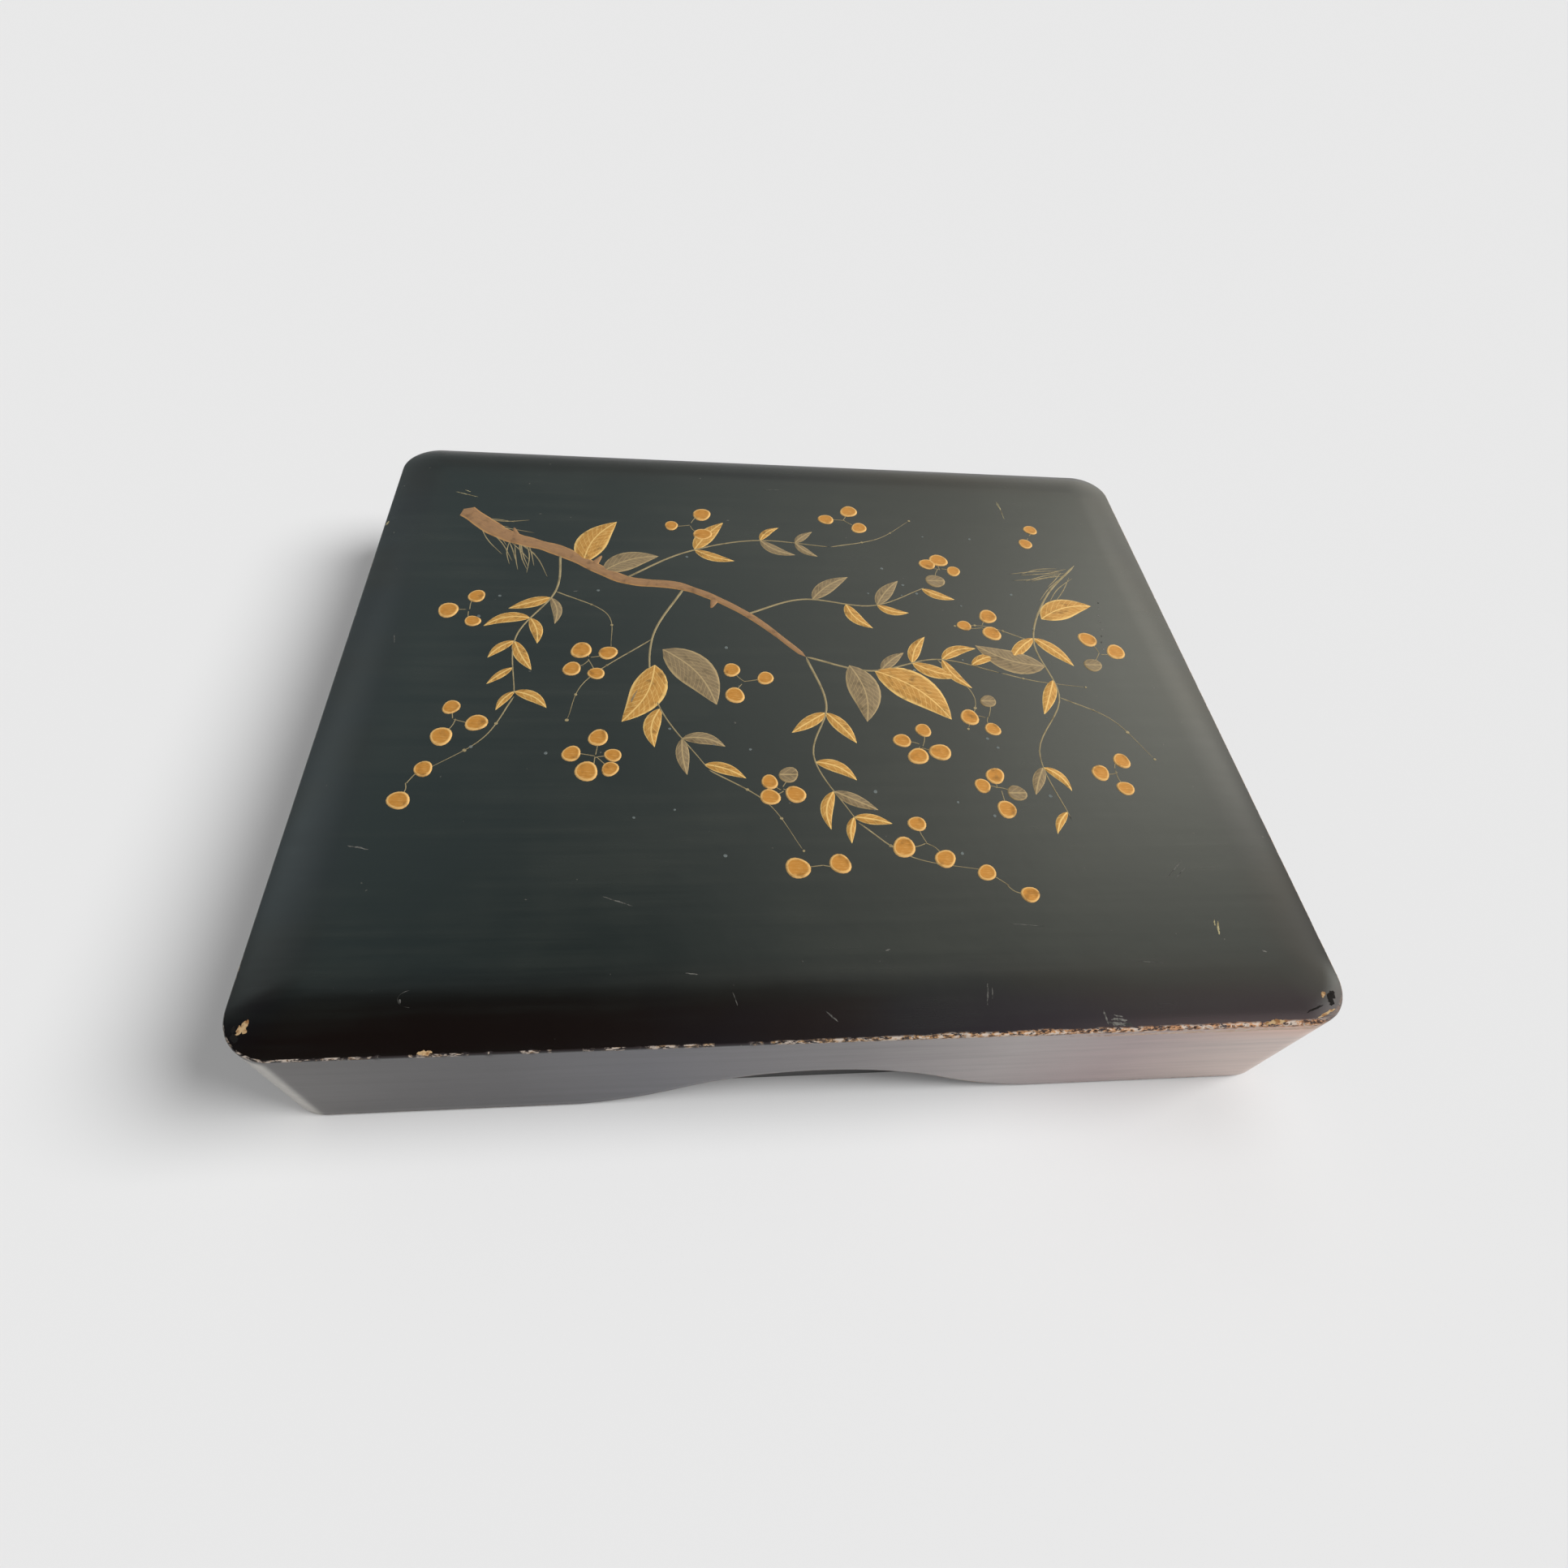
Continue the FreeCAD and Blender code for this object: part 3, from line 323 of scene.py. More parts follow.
class Shape:
    """A mesh in the making, gathered from grids of points.

    Neighbouring grids share their edge points, which are merged when the piece is made, so
    closed rings and poles come out closed.
    """

    def __init__(self) -> None:
        """Starts empty."""
        self.points: list[Array] = []
        self.corners: list[Array] = []
        self.wraps: list[Array] = []
        self.shares: list[Array] = []
        self.count = 0

    def grid(self, points: Array, wrap: Array | None = None, share: Array | float = 0.0) -> None:
        """Adds a grid of quads whose normals point along row direction × column direction.

        Args:
            points: rows × columns × 3, in millimetres.
            wrap: rows × columns × 2, in millimetres; the points' x and y when left out.
            share: a number for each point, or one for all.
        """
        rows, columns = points.shape[:2]
        wrap = points[..., :2] if wrap is None else wrap
        index = np.arange(rows * columns).reshape(rows, columns)
        quad = np.stack(
            [index[:-1, :-1], index[1:, :-1], index[1:, 1:], index[:-1, 1:]], axis=-1
        ).reshape(-1, 4)
        self.points.append(points.reshape(-1, 3))
        self.corners.append(quad + self.count)
        self.wraps.append(wrap.reshape(-1, 2)[quad])
        self.shares.append(np.broadcast_to(share, (rows, columns)).reshape(-1))
        self.count += rows * columns

    def piece(
        self, name: str, finish: Finish, body: str, slot: Slot, sharp: float = 40.0
    ) -> Any:
        """Makes the object, merged, smooth, dressed and riding on its body.

        Args:
            name: the piece's name.
            finish: its material.
            body: the CAD body it rides on.
            slot: a material slot name; not used.
            sharp: edges that turn by more degrees than this are kept sharp.

        Returns:
            The object.
        """
        mesh = bpy.data.meshes.new(name)
        points = np.concatenate(self.points) * MM
        corners = np.concatenate(self.corners)
        mesh.from_pydata(points.tolist(), [], corners.tolist())
        layer = mesh.uv_layers.new(name=UV_NAME)
        layer.data.foreach_set("uv", (np.concatenate(self.wraps) * MM).astype(np.float32).ravel())
        shares = mesh.attributes.new(SHARE_NAME, "FLOAT", "POINT")
        shares.data.foreach_set("value", np.concatenate(self.shares).astype(np.float32))
        work = bmesh.new()
        work.from_mesh(mesh)
        bmesh.ops.remove_doubles(work, verts=work.verts, dist=MERGE_METRES)
        work.to_mesh(mesh)
        work.free()
        mesh.shade_smooth()
        mesh.set_sharp_from_angle(angle=math.radians(sharp))
        made = bpy.data.objects.new(name, mesh)
        bpy.context.scene.collection.objects.link(made)
        finish.dress(made)
        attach(made, body)
        LOG.info("%s: %d faces", name, len(mesh.polygons))
        return made


@dataclass(frozen=True)
class Ring:
    """The columns of a rounded rectangle, counter-clockwise from the front left corner.

    A point of it is span * (half - radius) + normal * radius: span runs over the straight
    sides between -1 and 1 and stays at a corner's signs round that corner, and normal is the
    outward direction.
    """

    span: Array
    normal: Array

    @classmethod
    def made(cls, front: int, side: int, back: int, corner: int) -> "Ring":
        """Works out the columns.

        Args:
            front: columns along the front.
            side: columns along each end.
            back: columns along the back.
            corner: columns round each corner.

        Returns:
            The ring, whose last column repeats the first.
        """
        spans, normals = [], []
        signs = [(1, -1), (1, 1), (-1, 1), (-1, -1)]
        counts = [front, side, back, side]
        for turn, (sign, count) in enumerate(zip(signs, counts)):
            before = signs[turn - 1]
            step = np.linspace(0.0, 1.0, count, endpoint=False)[:, None]
            spans.append(np.array(before) * (1 - step) + np.array(sign) * step)
            facing = math.radians(90.0 * turn - 90.0)
            normals.append(np.tile([math.cos(facing), math.sin(facing)], (count, 1)))
            angle = facing + np.linspace(0.0, math.pi / 2, corner, endpoint=False)
            spans.append(np.tile(np.array(sign, float), (corner, 1)))
            normals.append(np.stack([np.cos(angle), np.sin(angle)], axis=-1))
        span, normal = np.concatenate(spans), np.concatenate(normals)
        return cls(np.vstack([span, span[:1]]), np.vstack([normal, normal[:1]]))

    def at(self, half: tuple[float, float], radius: float) -> Array:
        """The points of the rounded rectangle, columns × 2."""
        return self.span * (np.array(half) - radius) + self.normal * radius

    def along(self, half: tuple[float, float], radius: float) -> Array:
        """How far each column is along the rounded rectangle, in millimetres."""
        step = np.linalg.norm(np.diff(self.at(half, radius), axis=0), axis=1)
        return np.concatenate([[0.0], np.cumsum(step)])


def smooth(value: Array, low: float, high: float) -> Array:
    """3t² - 2t³ of the share of the way from low to high, kept between 0 and 1."""
    share = np.clip((value - low) / (high - low), 0.0, 1.0)
    return share * share * (3.0 - 2.0 * share)


def ripple(draw: np.random.Generator, along: Array, longest: float, shortest: float) -> Array:
    """A sum of eight sines of random phase, with wavelengths from longest to shortest.

    Args:
        draw: the random numbers.
        along: places in millimetres.
        longest: the longest wavelength.
        shortest: the shortest wavelength.

    Returns:
        About -1 to 1 at each place.
    """
    lengths = np.geomspace(longest, shortest, 8)
    phases = draw.uniform(0.0, 2 * math.pi, 8)
    waves = np.sin(2 * math.pi * along[..., None] / lengths + phases)
    return waves.sum(axis=-1) / 4.0


@dataclass(frozen=True)
class Spot:
    """Where a point of the lid is: its place and how far below the arris it lies.

    The drop is measured over the surface, so it is negative on the top.
    """

    here: Sock
    x: Sock
    y: Sock
    drop: Sock


@dataclass(frozen=True)
class LidLacquer(Finish):
    """Old black lacquer: worn along its arrises, with long faint streaks, and with reflections and
    highlights painted into its colour on the front.

    A range is where something starts and where it is complete; one whose name has "end" is
    where it starts to stop and where it is gone. Its name says the way: along x, leftward
    against x, frontward from the middle, down from the arris, or outward from the field.
    """

    name: str = "worn_black_lacquer"
    field_dark: Colour = (0.0030, 0.0060, 0.0056)
    field_pale: Colour = (0.0120, 0.0150, 0.0130)
    margin: Colour = (0.0055, 0.0034, 0.0028)
    margin_blue: Colour = (0.0045, 0.0042, 0.0062)
    # Painted reflection: the front wall's colour along x, brighter and warmer towards the right.
    front_reflection: tuple = (
        (0.0, (0.052, 0.042, 0.036)),
        (0.1, (0.037, 0.032, 0.031)),
        (0.22, (0.026, 0.023, 0.027)),
        (0.35, (0.078, 0.076, 0.092)),
        (0.52, (0.185, 0.168, 0.172)),
        (0.68, (0.410, 0.360, 0.350)),
        (0.79, (0.450, 0.340, 0.335)),
        (0.90, (0.620, 0.490, 0.440)),
        (1.0, (0.800, 0.620, 0.540)),
    )
    gold: Colour = (0.52, 0.30, 0.11)
    flake: Colour = (0.66, 0.55, 0.46)
    orange: Colour = (0.58, 0.30, 0.15)
    scorched: Colour = (0.050, 0.026, 0.016)
    # Painted highlight: the colour of the pale strip on the front left corner.
    wear_and_highlight: Colour = (0.56, 0.53, 0.48)
    # Painted highlight: the grey sheen colour of the front right corner.
    sheen: Colour = (0.115, 0.118, 0.112)
    # Painted reflection: a mauve tint for the top's outer margin behind the front arris.
    mauve_reflection: Colour = (0.075, 0.055, 0.055)
    # Painted glow: a warm tint for the upper right of the front wall, standing for the warm light
    # reflected there.
    painted_glow: Colour = (0.95, 0.46, 0.27)
    dust: Colour = (0.13, 0.12, 0.10)
    half_length: float = 121.2
    half_depth: float = 103.0
    margin_width: float = 14.0
    margin_from_field: Range = (-7.0, 9.0)
    wall_frontward: Range = (98.0, 102.7)
    wall_down: Range = (0.2, 1.2)
    strip_leftward: Range = (110.6, 113.0)
    strip_end_leftward: Range = (118.6, 120.4)
    strip_down: Range = (0.6, 3.0)
    band_frontward: Range = (92.0, 96.0)
    glow_along: Range = (70.0, 112.0)
    glow_end_down: Range = (2.0, 11.0)
    sheen_along: Range = (108.0, 116.0)
    sheen_frontward: Range = (86.0, 94.0)
    sheen_down: Range = (-5.0, -1.0)
    sheen_end_down: Range = (2.0, 6.0)
    mauve_along: Range = (40.0, 90.0)
    mauve_down: Range = (-3.5, -0.8)
    wear_along: Range = (-110.0, 105.0)
    wear_frontward: Range = (90.0, 101.0)
    wear_dense_along: Range = (-35.0, 75.0)
    second_at: float = 1.7
    second_along: Range = (45.0, 75.0)
    kept_along: Range = (110.5, 114.0)
    kept_frontward: Range = (90.0, 96.0)
    orange_along: Range = (-40.0, 90.0)
    foot_at: float = 36.1

    def surface(self, graph: Graph) -> Surface:
        """The lid's shader: ground, painted reflections and highlights, and wear, one over the
        other.
        """
        here = graph.place()
        x, y, _ = graph.axes(here)
        _, drop, _ = graph.axes(graph.wrap())
        spot = Spot(here, x, y, drop)
        streak = graph.grain(here, (0.014, 0.30, 0.30), 5.0, 0.6)
        cloud = graph.noise(here, 0.028, 3.0)
        wall = graph.step(-y, *self.wall_frontward) * graph.step(drop, *self.wall_down)
        colour = self.ground(graph, spot, cloud * 0.55 + streak * 0.45)
        colour = self.painted_light(graph, spot, wall, colour)
        worn, bare = self.wear(graph, spot)
        colour = graph.blend(worn, colour, bare)
        dust = graph.step(graph.noise(here, 0.62, 1.0), 0.80, 0.84)
        height = graph.noise(here, 0.16, 2.0) * 0.5 + streak * 0.4 - worn * 0.8
        gloss = 0.15 + 0.10 * cloud + 0.10 * streak
        return Surface(
            colour=graph.blend(dust * 0.5, colour, self.dust),
            roughness=gloss + wall * 0.08 + worn * 0.4,
            normal=graph.bump(height, 0.4, 0.00012),
        )

    def ground(self, graph: Graph, spot: Spot, clouding: Sock) -> Sock:
        """The bare lacquer: a greenish field that passes into browner margins.

        Args:
            graph: the material's graph.
            spot: the point.
            clouding: clouds and streaks, of which the highest are pale.

        Returns:
            The colour.
        """
        end = abs(spot.x) - (self.half_length - self.margin_width)
        side = abs(spot.y) - (self.half_depth - self.margin_width)
        drift = graph.grain(spot.here, (0.016, 0.034, 0.034), 2.0)
        pale = graph.step(clouding, 0.44, 0.66)
        field = graph.blend(pale * 0.8, self.field_dark, self.field_pale)
        margin = graph.blend(graph.step(drift, 0.42, 0.6), self.margin, self.margin_blue)
        margin = graph.blend(pale * 0.35, margin, self.field_pale)
        return graph.blend(graph.step(end.most(side), *self.margin_from_field), field, margin)

    def painted_light(self, graph: Graph, spot: Spot, wall: Sock, colour: Sock) -> Sock:
        """Adds the painted light: a painted reflection over the front wall, a painted highlight
        strip, a painted warm glow, a painted sheen and a mauve painted reflection.

        Args:
            graph: the material's graph.
            spot: the point.
            wall: 1 on the front wall.
            colour: what they lie on.

        Returns:
            The colour with them.
        """
        x, drop = spot.x, spot.drop
        forward = graph.step(-spot.y, *self.band_frontward)
        patchiness = graph.grain(spot.here, (0.018, 1.0, 0.42), 5.0, 0.65)
        # Painted reflection over the front wall, broken up by patchy streaks.
        front_reflection = graph.ramp(x / (2 * self.half_length) + 0.5, list(self.front_reflection))
        colour = graph.blend((wall * (0.55 + 0.8 * patchiness)).least(1.0), colour, front_reflection)
        # Painted highlight: a pale strip down the roll of the front left corner, just under the
        # arris.
        strip = graph.step(-x, *self.strip_leftward) * graph.fall(-x, *self.strip_end_leftward)
        strip = strip * forward * graph.step(drop, *self.strip_down) * (0.6 + 0.5 * patchiness)
        colour = graph.blend(strip.least(1.0), colour, self.wear_and_highlight)
        # Painted warm glow over the upper right part of the front wall.
        painted_glow = graph.step(x, *self.glow_along) * graph.fall(drop, *self.glow_end_down)
        colour = graph.blend(painted_glow * wall * 0.4, colour, self.painted_glow)
        # Painted highlight: a grey sheen over the roll at the front right corner.
        sheen = graph.step(x, *self.sheen_along) * graph.step(-spot.y, *self.sheen_frontward)
        sheen = sheen * graph.step(drop, *self.sheen_down)
        sheen = sheen * graph.fall(drop, *self.sheen_end_down)
        colour = graph.blend(sheen * 0.8, colour, self.sheen)
        # Painted reflection: a mauve tint on the top just behind the front arris, from x 40 to 90,
        # off the front wall.
        mauve_reflection = graph.step(x, *self.mauve_along) * forward * graph.step(drop, *self.mauve_down)
        return graph.blend(mauve_reflection * (1.0 - wall) * 0.45, colour, self.mauve_reflection)

    def wear(self, graph: Graph, spot: Spot) -> tuple[Sock, Sock]:
        """Where the lacquer has gone from the arrises, and what shows there.

        A ragged band follows the arris, widest and densest at the front's right, with a second
        broken line under it there. The lower edge is worn a little all round.

        Args:
            graph: the material's graph.
            spot: the point.

        Returns:
            The worn share and the colour of the bare places.
        """
        here, x, drop = spot.here, spot.x, spot.drop
        grain = graph.grain(here, (0.55, 1.3, 1.7), 4.0, 0.7)
        stretch = graph.grain(here, (0.13, 0.13, 0.02), 3.0, 0.6)
        tint = graph.grain(here, (0.7, 1.4, 1.4), 2.0, 0.6)
        along = graph.step(x, *self.wear_along)
        forward = graph.step(-spot.y, *self.wear_frontward)
        denser = graph.step(x, *self.wear_dense_along)
        present = graph.step(stretch + 0.26 * denser + 0.08 * forward, 0.56, 0.62)
        reach = 0.28 + (0.25 + 1.8 * along) * stretch * forward
        near = graph.fall(abs(drop - 0.15) / reach, 0.45, 1.0)
        worn = present * near * graph.step(grain + 0.09 * along, 0.46, 0.56)
        below = abs(drop - self.second_at - stretch * 1.3)
        second = graph.fall(below, 0.4, 0.8) * graph.step(grain, 0.36, 0.46)
        second = second * forward * graph.step(x, *self.second_along)
        # No wear at the front right corner, where the painted sheen shows.
        kept = graph.step(x, *self.kept_along) * graph.step(-spot.y, *self.kept_frontward)
        worn = worn.most(second) * (1.0 - kept * 0.85)
        chipped = graph.step(graph.share(), 0.42, 0.50) * (1.0 - kept)
        foot = graph.fall(abs(drop - self.foot_at), 0.15, 0.5)
        foot = foot * graph.step(grain * 0.6 + stretch * 0.4, 0.46, 0.58) * 0.55
        warm = graph.blend(graph.step(x, *self.orange_along), self.gold, self.orange)
        whiter = graph.step(tint + 0.10 * (1.0 - along), 0.50, 0.58)
        bare = graph.blend(whiter.most(second * 0.6), warm, self.flake)
        burnt = graph.step(tint, 0.46, 0.38) * (1.0 - second)
        bare = graph.blend(burnt, bare, self.scorched)
        # The bare places towards the front left are mixed a little towards the painted sheen grey.
        bare = graph.blend((1.0 - denser) * forward * 0.3, bare, self.sheen)
        return worn.most(chipped).most(foot), bare


def node_box(name: str) -> tuple[Array, Array]:
    """A solid's lowest and highest corner, in millimetres."""
    low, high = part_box(name)
    return np.array(low) / MM, np.array(high) / MM


@dataclass
class Skin:
    """A closed skin of rounded rectangles, from the middle of the top down to the bottom's.

    The corners low and high bound its plan, and hold its lowest and highest level where it is made
    over a solid. The drops are the rows' distances down the surface, where they are given.
    """

    low: Array
    high: Array
    ring: Ring
    circle: float = 20.0
    rows: list[Array] = field(default_factory=list)
    drops: list[float] = field(default_factory=list)

    @classmethod
    def over(cls, node: str, *counts: int) -> "Skin":
        """An empty skin over a solid, with a ring of the given column counts."""
        return cls(*node_box(node), Ring.made(*counts))

    @property
    def centre(self) -> Array:
        """The middle of the plan."""
        return (self.low + self.high)[:2] / 2

    @property
    def half(self) -> Array:
        """Half the plan's length and depth."""
        return (self.high - self.low)[:2] / 2

    def row(
        self, inset: float, radius: float, level: Level, share: float = 1.0,
        rounding: float = 0.0, drop: float = 0.0,
    ) -> None:
        """Adds a ring.

        Args:
            inset: how far it lies inside the outline.
            radius: its corner radius.
            level: its height, its heights, or a function of its points that gives them.
            share: how much of its size is left.
            rounding: how far it goes towards a circle of the skin's circle radius times share.
            drop: its distance down the surface.
        """
        plan = self.ring.at(self.half - inset, radius) * share
        if rounding:
            away = np.linalg.norm(plan, axis=1, keepdims=True)
            circle = plan / np.maximum(away, 1e-9) * share * self.circle
            plan = plan * (1 - rounding) + circle * rounding
        plan = plan + self.centre
        height = level(plan) if callable(level) else np.broadcast_to(level, len(plan))
        self.rows.append(np.concatenate([plan, height[:, None]], axis=1))
        self.drops.append(drop)

    def rounded(
        self, start: float, end: float, edge: float, radius: float, level: float, up: bool
    ) -> None:
        """A quarter round: inset e(1 - sin a), height e(1 - cos a) off a level, a from start.

        Args:
            start: the first angle, in degrees.
            end: the last angle, in degrees.
            edge: the quarter round's radius.
            radius: the outline's corner radius.
            level: the height of the flat that it joins.
            up: whether that flat is the top.
        """
        for angle in np.radians(np.linspace(start, end, 6)):
            inset = edge * (1 - math.sin(angle))
            drop = edge * (1 - math.cos(angle))
            self.row(inset, max(radius - inset, 0.5), level - drop if up else level + drop)

    def foot(self, edge: float, radius: float) -> None:
        """The lower edge and the underside, closed at its middle."""
        self.rounded(90.0, 0.0, edge, radius, self.low[2], False)
        for share in (0.7, 0.35, 0.0):
            self.row(edge, max(radius - edge, 0.5), self.low[2], share)

    def shape(self) -> Shape:
        """The rings as one grid, wrapped by distance round and down."""
        points = np.stack(self.rows)
        around = np.linalg.norm(np.diff(points, axis=1), axis=2).max(axis=0).cumsum()
        down = np.linalg.norm(np.diff(points, axis=0), axis=2).mean(axis=1).cumsum()
        wrap = np.stack(
            np.broadcast_arrays(np.r_[0.0, around], np.r_[0.0, down][:, None]), axis=-1
        )
        made = Shape()
        made.grid(points, wrap)
        return made


@dataclass
class LidShell:
    """The lid as one skin: domed field, rolled margin, walls with finger notches, inside.

    Each row of the skin is a rounded rectangle at an inset from the lid's outline, with
    heights that follow the solid's own profile.
    """

    half: tuple[float, float] = (121.2, 103.0)
    radius: float = 11.0
    wall: float = 4.0
    foot: float = 0.8
    ceiling: float = 36.2
    field_edge: float = 39.6
    top: float = 40.0
    margin: float = 14.0
    margin_drop: float = 2.6
    margin_tighten: float = 0.5
    roll: float = 0.7
    roll_drop: float = 0.6
    wall_drop: float = 0.5
    edge_break: float = 0.35
    notch_half: float = 63.0
    notch_height: float = 17.6
    notch_flare: float = 0.6
    chip_depth: float = 0.42
    chip_lean: float = 0.8
    columns: tuple[int, int, int, int] = (460, 110, 150, 18)
    seed: int = 7

    def crown(self, x: Array, y: Array) -> Array:
        """The field's height: its edge height plus a rise times (1 - u²)(1 - v²)."""
        u = x / (self.half[0] - self.margin)
        v = y / (self.half[1] - self.margin)
        return self.field_edge + (self.top - self.field_edge) * (1 - u * u) * (1 - v * v)

    def fall(self, inset: float) -> float:
        """How far the margin has fallen below the field's edge at an inset."""
        return self.margin_drop * ((self.margin - inset) / self.margin) ** 2

    def corner(self, inset: float) -> float:
        """The corner radius of the top's row at an inset."""
        return self.radius - self.margin_tighten * inset

    def lip(self, plan: Array) -> Array:
        """The lower edge's height over a row's points."""
        return self.foot + self.notch(plan[:, 0])

    def inset(self, x: Array, y: Array) -> Array:
        """How far a point is from the lid's outline, by halving an interval 24 times.

        In a corner the row's radius falls by half its inset, so the inset d solves
        |p - centre(d)| = radius - d / 2.
        """
        far_x, far_y = np.abs(x) - self.half[0], np.abs(y) - self.half[1]
        low = np.zeros_like(far_x)
        high = np.full_like(far_x, 2.0 * self.margin)
        rest = self.radius
        for _ in range(24):
            middle = (low + high) / 2
            shift = rest + (1 - self.margin_tighten) * middle
            across = np.hypot(np.maximum(far_x + shift, 0.0), np.maximum(far_y + shift, 0.0))
            inside = across < rest - self.margin_tighten * middle
            low, high = np.where(inside, middle, low), np.where(inside, high, middle)
        return np.minimum(low, np.minimum(-far_x, -far_y))

    def height(self, x: Array, y: Array) -> Array:
        """The top's height over any point of the plan, field and margin alike."""
        short = np.clip((self.margin - self.inset(x, y)) / self.margin, 0.0, 1.0)
        reach_x, reach_y = self.half[0] - self.margin, self.half[1] - self.margin
        field = self.crown(np.clip(x, -reach_x, reach_x), np.clip(y, -reach_y, reach_y))
        return field - self.margin_drop * short * short

    def notch(self, x: Array) -> Array:
        """How far the lower edge rises at x: two tangent circles of one radius."""
        quarter = self.notch_half / 2
        step = (self.notch_height + self.notch_flare) / 2
        radius = (quarter * quarter + step * step) / (2 * step)
        away = np.minimum(np.abs(x), self.notch_half)
        crown = self.notch_height - radius + np.sqrt(radius**2 - np.minimum(away, quarter) ** 2)
        flare = radius - np.sqrt(radius**2 - (away - self.notch_half) ** 2) - self.notch_flare
        return np.maximum(np.where(away < quarter, crown, flare), 0.0)

    def build(self) -> None:
        """Makes the skin, which stands for the top board and the four walls."""
        half = np.array(self.half)
        skin = Skin(
            np.array([*-half, self.foot]), np.array([*half, self.top]), Ring.made(*self.columns)
        )
        hub = self.top_rows(skin)
        self.wall_rows(skin, hub)
        self.inside_rows(skin, float(hub.mean()))
        along = skin.ring.along(self.half, self.radius)
        points, drop = np.stack(skin.rows), np.array(skin.drops)[:, None]
        chips, wear = self.chips(skin.ring, along, drop)
        points[..., :2] -= skin.ring.normal * chips[..., None]
        points[..., 2] -= chips * self.chip_lean
        shape = Shape()
        shape.grid(points, np.stack(np.broadcast_arrays(along, drop), axis=-1), wear)
        piece = shape.piece("lid_shell", LidLacquer(), "lid", Slot.LACQUER)
        sides = [f"lid_{side}_side" for side in ("front", "back", "left", "right")]
        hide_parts("lid_top_board", *sides)

    def top_rows(self, skin: Skin) -> Array:
        """Adds the field, the margin and the roll that rounds the arris.

        Args:
            skin: the skin they are added to.

        Returns:
            The height of the roll's centre at each column, which is the arris's lower end.
        """
        reach = min(self.half) - self.margin
        for share in np.linspace(0.0, 1.0, 22)[:-1]:
            skin.row(
                self.margin, self.corner(self.margin),
                lambda plan: self.crown(plan[:, 0], plan[:, 1]), share,
                drop=-self.margin - (1 - share) * reach,
            )
        lean = math.atan(2 * self.margin_drop / self.margin)
        start = self.roll * (1 - math.sin(lean))
        edge = skin.ring.at(skin.half - self.margin, self.corner(self.margin))
        rim = self.crown(edge[:, 0], edge[:, 1])
        for inset in (*np.linspace(self.margin, 2.0, 14), 1.4, 1.0, 0.7, start):
            skin.row(inset, self.corner(inset), rim - self.fall(inset), drop=-inset)
        hub = rim - self.fall(start) - self.roll * math.cos(lean)
        for angle in np.linspace(lean, math.pi / 2, 7)[1:]:
            inset = self.roll * (1 - math.sin(angle))
            level = hub + self.roll * math.cos(angle)
            skin.row(
                inset, self.corner(inset), level,
                drop=self.roll * (angle - lean) * self.roll_drop,
            )
        return hub

    def wall_rows(self, skin: Skin, hub: Array) -> None:
        """Adds the walls' outside, close together under the arris, and the lower edge.

        Args:
            skin: the skin they are added to.
            hub: where the walls start, at each column.
        """
        arris = float(hub.mean())
        for down in (0.008, 0.02, 0.04, 0.07, 0.11, *np.linspace(0.16, 1.0, 13)):
            skin.row(
                0.0, self.radius,
                lambda plan: hub + (self.lip(plan) + self.edge_break - hub) * down,
                drop=self.wall_drop + down * (arris - self.foot),
            )
        for inset, lift in ((0.1, 0.1), (0.35, 0.0), (2.0, 0.0), (3.65, 0.0), (3.9, 0.1)):
            skin.row(
                inset, self.radius - inset, lambda plan: self.lip(plan) + lift,
                drop=arris + inset,
            )

    def inside_rows(self, skin: Skin, arris: float) -> None:
        """Adds the walls' inside and the ceiling, closed at its middle.

        Args:
            skin: the skin they are added to.
            arris: the arris's height.
        """
        radius = self.radius - self.wall
        for up in np.linspace(0.0, 1.0, 9):
            skin.row(
                self.wall, radius,
                lambda plan: (self.lip(plan) + self.edge_break) * (1 - up) + self.ceiling * up,
                drop=arris + self.wall + up * (arris - self.foot),
            )
        reach = min(self.half) - self.margin
        for share in np.linspace(1.0, 0.0, 9)[1:]:
            skin.row(
                self.wall, radius, self.ceiling, share, drop=2 * arris + (1 - share) * reach
            )

    def chips(self, ring: Ring, along: Array, drop: Array) -> tuple[Array, Array]:
        """Seeded chips along the top arris.

        The chip at a column is a sum of sines past a threshold, stronger on the front and
        densest at its right, times a bell of the distance from the arris.

        Args:
            ring: the columns.
            along: the columns' places along the outline.
            drop: each row's distance below the arris.

        Returns:
            Depths in millimetres and shares, rows × columns, both 0 at the closing column.
        """
        draw = np.random.default_rng(self.seed)
        front = smooth(-ring.normal[:, 1], 0.5, 0.95)
        wave = ripple(draw, along, 11.0, 1.1) + 0.35 * ripple(draw, along, 60.0, 25.0)
        rightward = smooth(ring.span[:, 0], -0.3, 0.8)
        chip = smooth(wave, 0.62 - 0.37 * rightward, 1.3) * (0.1 + 0.9 * front)
        chip *= 0.6 + 0.4 * rightward
        chip[-1] = chip[0]
        rough = draw.uniform(0.7, 1.0, (len(drop), len(along)))
        rough[:, -1] = rough[:, 0]
        spread = 0.55 + 0.35 * np.roll(chip, 3)
        bell = np.exp(-(((drop - 0.2) / spread) ** 2))
        share = chip * bell * rough
        return share * self.chip_depth, share


def flow(points: list[tuple[float, float]], count: int) -> Array:
    """A smooth line through points: Catmull-Rom cubics, count places evenly in parameter."""
    knots = np.array(points, float)
    knots = np.vstack([2 * knots[0] - knots[1], knots, 2 * knots[-1] - knots[-2]])
    place = np.linspace(0.0, len(points) - 1 - 1e-9, count)
    first = place.astype(int)
    t = (place - first)[:, None]
    a, b, c, d = (knots[first + shift] for shift in range(4))
    return 0.5 * (
        2 * b + (c - a) * t + (2 * a - 5 * b + 4 * c - d) * t**2
        + (3 * b - a - 3 * c + d) * t**3
    )


